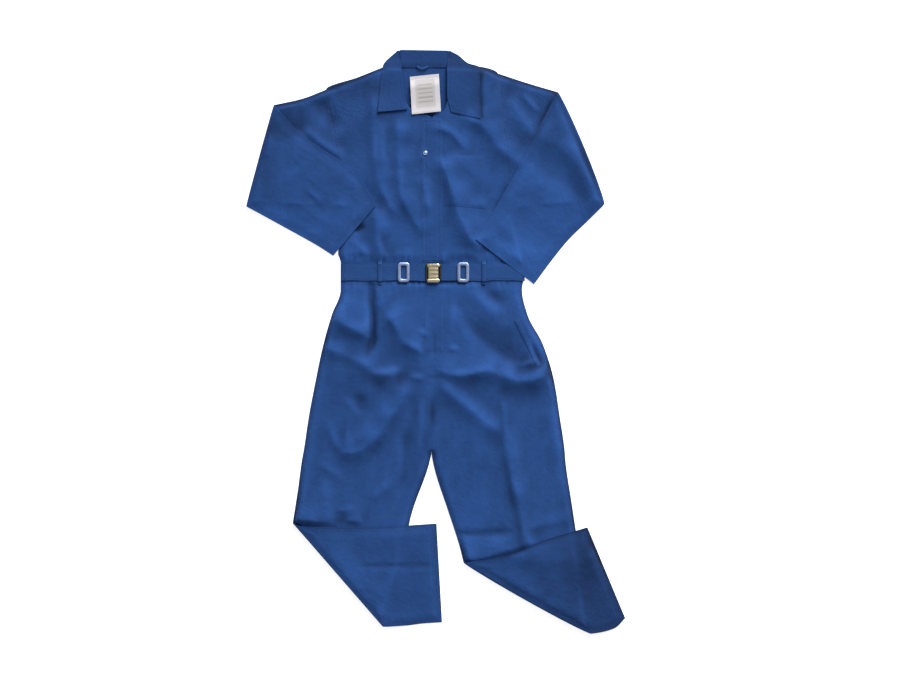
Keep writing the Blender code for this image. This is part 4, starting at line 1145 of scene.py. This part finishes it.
def bodice():
    """Back, both fronts, placket and chest pocket, with the rows of stitches on them."""
    plan = plan_of(BODICE_BACK, HIDDEN_CELL, spread(480.0, HIDDEN_CELL))
    # the back is painted darker: painted shade where it shows inside the neck
    lay("back_bodice", plan, 0.0, BACK_TOP, np.full(plan.shape[:2], -0.5))
    rows = []
    for side, table in (("right", BODICE_RIGHT), ("left", BODICE_LEFT)):
        high = front_panel(side, table)
        rows += [column_line(high, inset, True, (0.29, 0.86)) for inset in (2.0, 8.0)]
        rows.append(column_line(high, 1.6, False, (0.74, 1.0)))
    strip = box_plan(CENTRE_FRONT_X - 29, CENTRE_FRONT_X + 29, 212.0, 600.0)
    top = sewn_patch("placket", strip, PATCH_BASE, 0.6, (3.0, 8.4))
    rows += [*both_sides(top, 3.0), column_line(top, 8.4), row_line(top, 3.0, True)]
    pocket = box_plan(24.6, 130.0, 361.0, 496.0)
    lean = 9.0 * (pocket[..., 0] - 24.6) / 105.4
    pocket[..., 1] += 4 - lean * (1 - (pocket[..., 1] - 361.0) / 135.0)
    top = sewn_patch("chest_pocket", pocket, PATCH_BASE, 0.6, (3.0,))
    rows += [*both_sides(top, 3.0), row_line(top, 3.0), row_line(top, 22.0, True), row_line(top, 20.0, True)]
    stitching("bodice_stitching", rows)


def sleeves():
    """Both sleeves, with their hems and the rows along their shoulders."""
    rows = []
    for limb in (SLEEVE_RIGHT, SLEEVE_LEFT):
        floor_side, front_side = sleeve(limb)
        rows += [row_line(floor_side, inset, True) for inset in (3.0, 24.0)]
        rows.append(row_line(front_side, 2.0, False, (0.03, 0.97)))
    stitching("sleeve_stitching", rows)


# ---- trousers
def trousers():
    """Both legs' fronts and backs, the fly cover and the side pocket, with their stitches."""
    rows = []
    for leg in (LEG_RIGHT, LEG_LEFT):
        front_node, back_node = f"trouser_front_{leg.name}", f"trouser_back_{leg.name}"
        front = leg_panel(front_node, leg, FRONT_BASE, FRONT_TOP)[1]
        back = leg_panel(back_node, leg, 0.0, BACK_TOP)[0]
        rows += [column_line(front, inset, True, (0.03, 0.68)) for inset in (2.0, 8.0)]
        rows += [column_line(back, inset, True, (0.76, 1.0)) for inset in (2.0, 8.0)]
        rows += [row_line(back, inset, True) for inset in (3.0, 22.0)]
    fly = box_plan(-34.0, 18.0, -28.0, 152.0)
    top = sewn_patch("fly_cover", fly, PATCH_BASE, 0.5, (3.0,))
    rows += [*both_sides(top, 3.0), row_line(top, 3.0)]
    mouth = np.array([222.0, 62.0]) + np.array([62.0, -126.0]) * np.linspace(0, 1, 34)[:, None]
    offsets = np.array([-15.0, -13.6, -11.0, -8.5, -6.0, -4.4, -3.0])
    facing = mouth[:, None] + np.array([0.905, 0.425]) * offsets[None, :, None]
    top = sewn_patch("side_pocket_facing", facing, ON_FRONT + 0.2, CLOTH)
    rows.append(column_line(top, 2.0))
    stitching("trouser_stitching", rows)


# ---- collar, label and loop
def collar_leaf(side, table, tip_lift):
    """One leaf of the collar: doubled cloth, rolled up at the neck and lifted at its tip.

    Roll and lift both die out as exp(-distance), and above the neck the leaf drops by a smooth step.
    """
    plan = plan_of(table, 2.4, spread(88.0, 4.0, FINE_EDGE))
    y = plan[..., 1]
    from_neck = norm(plan - plan[:, :1])
    drop = 2.6 * ramp((y - 738) / 30)
    roll = 1.3 * np.exp(-from_neck / 20) * ramp((y - 640) / 60) * (1 - ramp((y - 740) / 40))
    tip = tip_lift * np.exp(-(y - plan[0, :, 1].min()) / 20)
    # both leaves are painted darker: painted shade
    top = sewn_patch(f"collar_leaf_{side}", plan, ON_FRONT + 0.2, 1.3, (5.4,), STIFF,
                     lift=roll + tip - drop, tone=-0.8)
    return [column_line(top, 5.4, True), row_line(top, 5.4)]


def collar_stand():
    """The stand's inner face, rolled at its top edge into the fall behind it."""
    plan, turn, normal = folded_plan(COLLAR_STAND, 4.0, STAND_AXIS, spread(124.0, 5.0, FINE_EDGE))
    low, high = (folded(plan, h, turn, normal, STAND_AXIS) for h in (0.0, STAND_CLOTH))
    inner_face = ramp((turn[:, None] - 2.9) * 10)
    low[..., 2] += 0.25 * np.sin(plan[..., 0] / 9.0) * inner_face
    for face in (low, high):
        face[..., 2] -= 1.3 * ramp((750 - plan[..., 1]) / 12) * inner_face
    piece = wall("collar_stand_cloth", low, high, SUIT, tone=np.full(plan.shape[:2], COLLAR_STAND.tone))
    declare_cloth("collar_stand")
    return [row_line(low, 3.0, True), row_line(low, 8.0, True)]


def care_label():
    """A blank label: woven tape with turned ends, a plain printed panel and plain bars.

    It rises by a smooth step from the neck's back to the front bodice, and its free end lifts. The
    bars lie where a sine of nine waves down the label is above 0.55.
    """
    plan = plan_of(LABEL, 1.6, spread(78.0, 1.6, (0.0, 0.8)))
    down, over = np.meshgrid(*(np.linspace(0, 1, n) for n in plan.shape[:2]), indexing="ij")
    on_front = ON_FRONT + 0.5 + read_map(STIFF, plan)
    low = 1.3 + (on_front - 1.3) * ramp(down / 0.32)
    low = low + 1.8 * ramp((down - 0.72) / 0.28) + 0.5 * np.sin(over * 5 + 1)
    hem = 0.45 * (1 - ramp((np.minimum(down, 1 - down) * 100 - 7.0) / 0.8))

    def within(place, start, end, blend):
        """1 between two places and 0 outside them, with a smooth step at both."""
        return ramp((place - start) / blend) * ramp((end - place) / blend)

    panel = within(over, 0.16, 0.84, 0.02) * within(down, 0.1, 0.86, 0.02)
    bars = (np.sin(down * 2 * math.pi * 9) > 0.55) * within(over, 0.24, 0.76, 0.01)
    bars = bars * within(down, 0.2, 0.76, 0.01)
    printed = np.clip(0.28 * panel + 0.4 * bars, 0, 1)
    top = at_height(plan, low + 0.5 + hem)
    piece = wall("care_label_tape", at_height(plan, low), top, TAPE, printed=printed)
    declare_cloth("care_label")
    return [row_line(top, 6.0), row_line(top, 6.0, True)]


def hanger_loop():
    """A narrow tape from the stand's seam: its line sags by half a sine, its section is a cosine."""
    t = np.linspace(0, 1, 41)
    line = np.column_stack([-54 + 30 * t, 741 - 6 * np.sin(math.pi * t)])
    offsets = np.array([-3.0, -2.4, -1.4, 0.0, 1.4, 2.4, 3.0])
    plan = line[:, None] + np.array([0.0, 1.0]) * offsets[None, :, None]
    low = 4.2 + 0.6 * np.sin(math.pi * t)[:, None] * np.ones(len(offsets))
    high = low + (0.7 + 0.35 * np.cos(offsets / 3.0 * 1.3)[None, :])
    # the loop is painted paler: painted light
    tone = np.full(low.shape, 0.6)
    piece = wall("hanger_loop_tape", at_height(plan, low), at_height(plan, high), SUIT, tone=tone)
    declare_cloth("hanger_loop")


def collar():
    """The collar's leaves and stand, the care label and the hanger loop."""
    rows = collar_leaf("right", COLLAR_LEAF_RIGHT, 4.2) + collar_leaf("left", COLLAR_LEAF_LEFT, 0.0)
    stitching("collar_stitching", rows + collar_stand())
    stitching("label_stitching", care_label(), TAPE, LABEL_STITCH)
    hanger_loop()


# ---- belt
def belt_run(node, x_start, x_end, base, thickness, seed):
    """A level run of belt: two sines sway it, a third narrows it, and both edges are stitched."""
    x = np.linspace(x_start, x_end, max(4, round(abs(x_end - x_start) / 3.4) + 1))
    fractions = spread(BELT_WIDTH, 4.0, FINE_EDGE)
    waver = np.random.default_rng(seed).uniform(0, 2 * math.pi, 4)
    shift = 0.7 * np.sin(x / 23 + waver[0]) + 0.4 * np.sin(x / 9 + waver[1])
    pinch = 0.5 * np.sin(x / 31 + waver[2]) - 0.8
    y = BELT_Y + shift[:, None] + (fractions[None, :] - 0.5) * (BELT_WIDTH + 2 * pinch[:, None])
    plan = np.stack([np.broadcast_to(x[:, None], y.shape), y], axis=-1)
    cup = 0.25 * (2 * fractions[None, :] - 1) ** 2 * (1 + np.sin(x[:, None] / 17 + waver[3]))
    return both_sides(sewn_patch(node, plan, base, thickness, (3.0,), STIFF, WEBBING, cup), 3.0)


def belt_loop(side, x):
    """A narrow loop: its feet on the cloth above and below the belt, its middle over the belt."""
    half = BELT_WIDTH / 2
    y = np.linspace(-half - 10, half + 10, 45)
    over = 1 - ramp((np.abs(y) - half - 0.5) / 4.5)
    lift = (over * (BELT_TOP - ON_FRONT + 0.9))[:, None]
    offsets = np.array([-5.2, -4.4, -2.8, 0.0, 2.8, 4.4, 5.2])
    plan = np.stack(np.meshgrid(x + offsets, BELT_Y + y), axis=-1)
    top = sewn_patch(f"belt_loop_{side}", plan, ON_FRONT + 0.1, 1.2, (), STIFF, WEBBING, lift)
    return both_sides(top, 1.6)


def belt():
    """Two half belts from the side seams, each doubled back through its slide, and two loops."""
    rows = []
    for side, start, end, slide_x, seed in (
        ("right", -257.5, -26.0, SLIDE_RIGHT_X - 13.5, 3), ("left", 237.0, 7.0, SLIDE_LEFT_X + 13.0, 4),
    ):
        belt_node, fronts = f"belt_{side}", [f"front_bodice_{side}", f"trouser_front_{side}"]
        rows += belt_run(belt_node, start, end, BELT_BASE, BELT_CLOTH - 0.45, seed)
        rows += belt_run(f"belt_return_{side}", slide_x, end, RETURN_BASE + 0.35, 0.9, seed + 6)
    rows += belt_loop("right", -154.0) + belt_loop("left", 127.0)
    stitching("belt_stitching", rows, (THREAD, "belt_cloth"))


# ---- metal
def metal_base(x, half_width):
    """Height on which a metal piece rests: the highest point of the belt under it."""
    under = (np.abs(X - x) < half_width) & (FROM_BELT < BELT_WIDTH / 2)
    return RETURN_BASE + RETURN_RISE + METAL_GAP + float(STIFF[under].max())


def chamfered_loop(half_width, half_height, cut, per_corner=6):
    """A rectangle with a quarter circle at each corner, anticlockwise, as points about its middle."""
    points = []
    for k, sides in enumerate(((1, 1), (-1, 1), (-1, -1), (1, -1))):
        a = np.linspace(0, math.pi / 2, per_corner) + k * math.pi / 2
        corner = np.array(sides) * [half_width - cut, half_height - cut]
        points.append(corner + cut * np.column_stack([np.cos(a), np.sin(a)]))
    return np.vstack(points)


def metal_frame(node, centre_x, half_width, half_height, bar, thickness, base, corner, stuff):
    """A frame of half-round wire: an oval section carried round a rectangle with cut corners."""
    turn = np.linspace(0, 2 * math.pi, 17)[:-1]
    in_from_edge = bar / 2 * (1 - np.cos(turn))
    height = thickness / 2 * (1 + np.sin(turn))
    rings = []
    for inset, z in zip(in_from_edge, height):
        loop = chamfered_loop(half_width - inset, half_height - inset, max(corner - 0.55 * inset, 1.2))
        rings.append(at_height((loop + [centre_x, BELT_Y])[None], base + z)[0])
    points = np.stack(rings, axis=1)
    rows, size = points.shape[:2]
    faces = grid_faces(rows + 1, size, closed=True) % (rows * size)
    piece = mesh_piece(f"{node}_frame", points.reshape(-1, 3), faces, stuff, crease=60)
    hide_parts(node)


def clasp():
    """The fastened clasp: a catch frame in painted shade, and on it a waisted plate between two raised bars.

    Across, the plate is crowned as sqrt(1 - x^5). Along it each bar is half an ellipse, and between
    the bars runs a cosine of three waves.
    """
    base = metal_base(CLASP_X, 22.0)
    metal_frame("clasp_catch", CLASP_X, 21.0, 22.5, 4.2, 2.0, base, 4.0, SHADE_PAINTED_BRASS)
    y = np.concatenate([np.linspace(-27, -18.5, 12), np.linspace(-17.5, 17.5, 33), np.linspace(18.5, 27, 12)])
    half = np.array([0.2, 0.4, 0.6, 0.8, 0.93, 0.985, 1.0])
    across_it = np.concatenate([-half[::-1], [0.0], half])
    bar = ramp((np.abs(y) - 17.0) / 2.0)
    half_width = (13.2 + 3.4 * bar) * (1 - 0.16 * ramp((np.abs(y) - 24.5) / 2.5))
    plan = np.stack([CLASP_X + across_it[None, :] * half_width[:, None],
                     np.broadcast_to((BELT_Y - 2.0 + 0.92 * y)[:, None], (len(y), len(across_it)))], axis=-1)
    crown = np.sqrt(np.maximum(1 - np.abs(across_it) ** 5, 0))[None, :]
    profile = 1.5 + 1.0 * bar * np.sqrt(np.maximum(1 - ((np.abs(y) - 22.6) / 4.9) ** 2, 0)) + 0.3 * (1 - bar)
    ribs = 0.35 * (np.cos(y / 35.0 * 2 * math.pi * 3) * (1 - bar))
    top = base + 2.3 + 0.3 + (profile + ribs)[:, None] * (0.35 + 0.65 * crown)
    piece = wall("clasp_plate_brass", at_height(plan, base + 2.3), at_height(plan, top), PALE_BRASS)
    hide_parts("clasp_plate")


def press_stud():
    """The stud's cap on the placket, a ring with a low dome in it: a profile turned round its middle."""
    seat = ON_FRONT + CLOTH + float(read_map(FRONT, STUD_CENTRE)) + 0.25
    profile = np.array([
        (0.05, -0.3), (5.4, -0.3), (5.9, 0.1), (5.8, 0.7), (5.1, 1.05), (4.3, 0.85), (3.9, 0.75), (3.2, 1.15),
        (2.0, 1.55), (0.9, 1.7), (0.05, 1.72),
    ])
    angles = np.linspace(0, 2 * math.pi, 33)[:-1]
    circle = np.column_stack([np.cos(angles), np.sin(angles)])
    points = at_height(STUD_CENTRE + profile[:, 0][:, None, None] * circle[None], seat + profile[:, 1][:, None])
    rows, size = points.shape[:2]
    faces = grid_faces(rows, size, closed=True)
    middle = [[*STUD_CENTRE, seat + profile[k, 1]] for k in (0, -1)]
    j = np.arange(size)
    first, last = rows * size, rows * size + 1
    low_cap = np.stack([np.full(size, first), (j + 1) % size, j], -1)
    high_cap = np.stack([np.full(size, last), (rows - 1) * size + j, (rows - 1) * size + (j + 1) % size], -1)
    triangles = np.vstack([faces[:, [0, 1, 2]], faces[:, [0, 2, 3]], low_cap, high_cap])
    piece = mesh_piece("press_stud_cap", np.vstack([points.reshape(-1, 3), middle]), triangles, NICKEL)
    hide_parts("press_stud")


def hardware():
    """The belt's slides and clasp, and the press stud."""
    for node, x in (("slide_right", SLIDE_RIGHT_X), ("slide_left", SLIDE_LEFT_X)):
        metal_frame(node, x, 15.8, 26.6, 8.2, 2.4, metal_base(x, 18.0), 8.5, NICKEL)
    clasp()
    press_stud()


# ---- floor, light and camera
def studio():
    """A plain white floor, an even white surround, a large soft light from beyond the collar."""
    scene = bpy.context.scene
    corners = [(-9, -9, 0), (9, -9, 0), (9, 9, 0), (-9, 9, 0)]
    floor_mesh = bpy.data.meshes.new("floor")
    floor_mesh.from_pydata(corners, [], [(0, 1, 2, 3)])
    glow = {"Emission_Color": (1, 1, 1, 1), "Emission_Strength": 0.72}
    floor_mesh.materials.append(new_material("floor_paper", 0.9, (0.9, 0.9, 0.9), **glow)[0])
    floor = put("floor", floor_mesh)
    floor.location.z = -0.0004

    scene.world = bpy.data.worlds.new("surround")
    scene.world.use_nodes = True
    surround = scene.world.node_tree.nodes["Background"].inputs
    surround["Color"].default_value = (1.0, 1.0, 1.0, 1.0)
    surround["Strength"].default_value = 0.31

    sun = bpy.data.lights.new("soft_window", "SUN")
    sun.energy = 6.6
    sun.angle = math.radians(38)
    put("soft_window", sun).rotation_euler = (math.radians(-66), 0.0, math.radians(-22))

    camera_data = bpy.data.cameras.new("camera")
    camera_data.lens = 70.0
    camera_data.sensor_width = 36.0
    scene.camera = put("camera", camera_data)
    scene.camera.location = (0.0383, 0.0015, 4.73)
    scene.view_settings.view_transform = "Standard"


bodice()
sleeves()
trousers()
collar()
belt()
hardware()
studio()
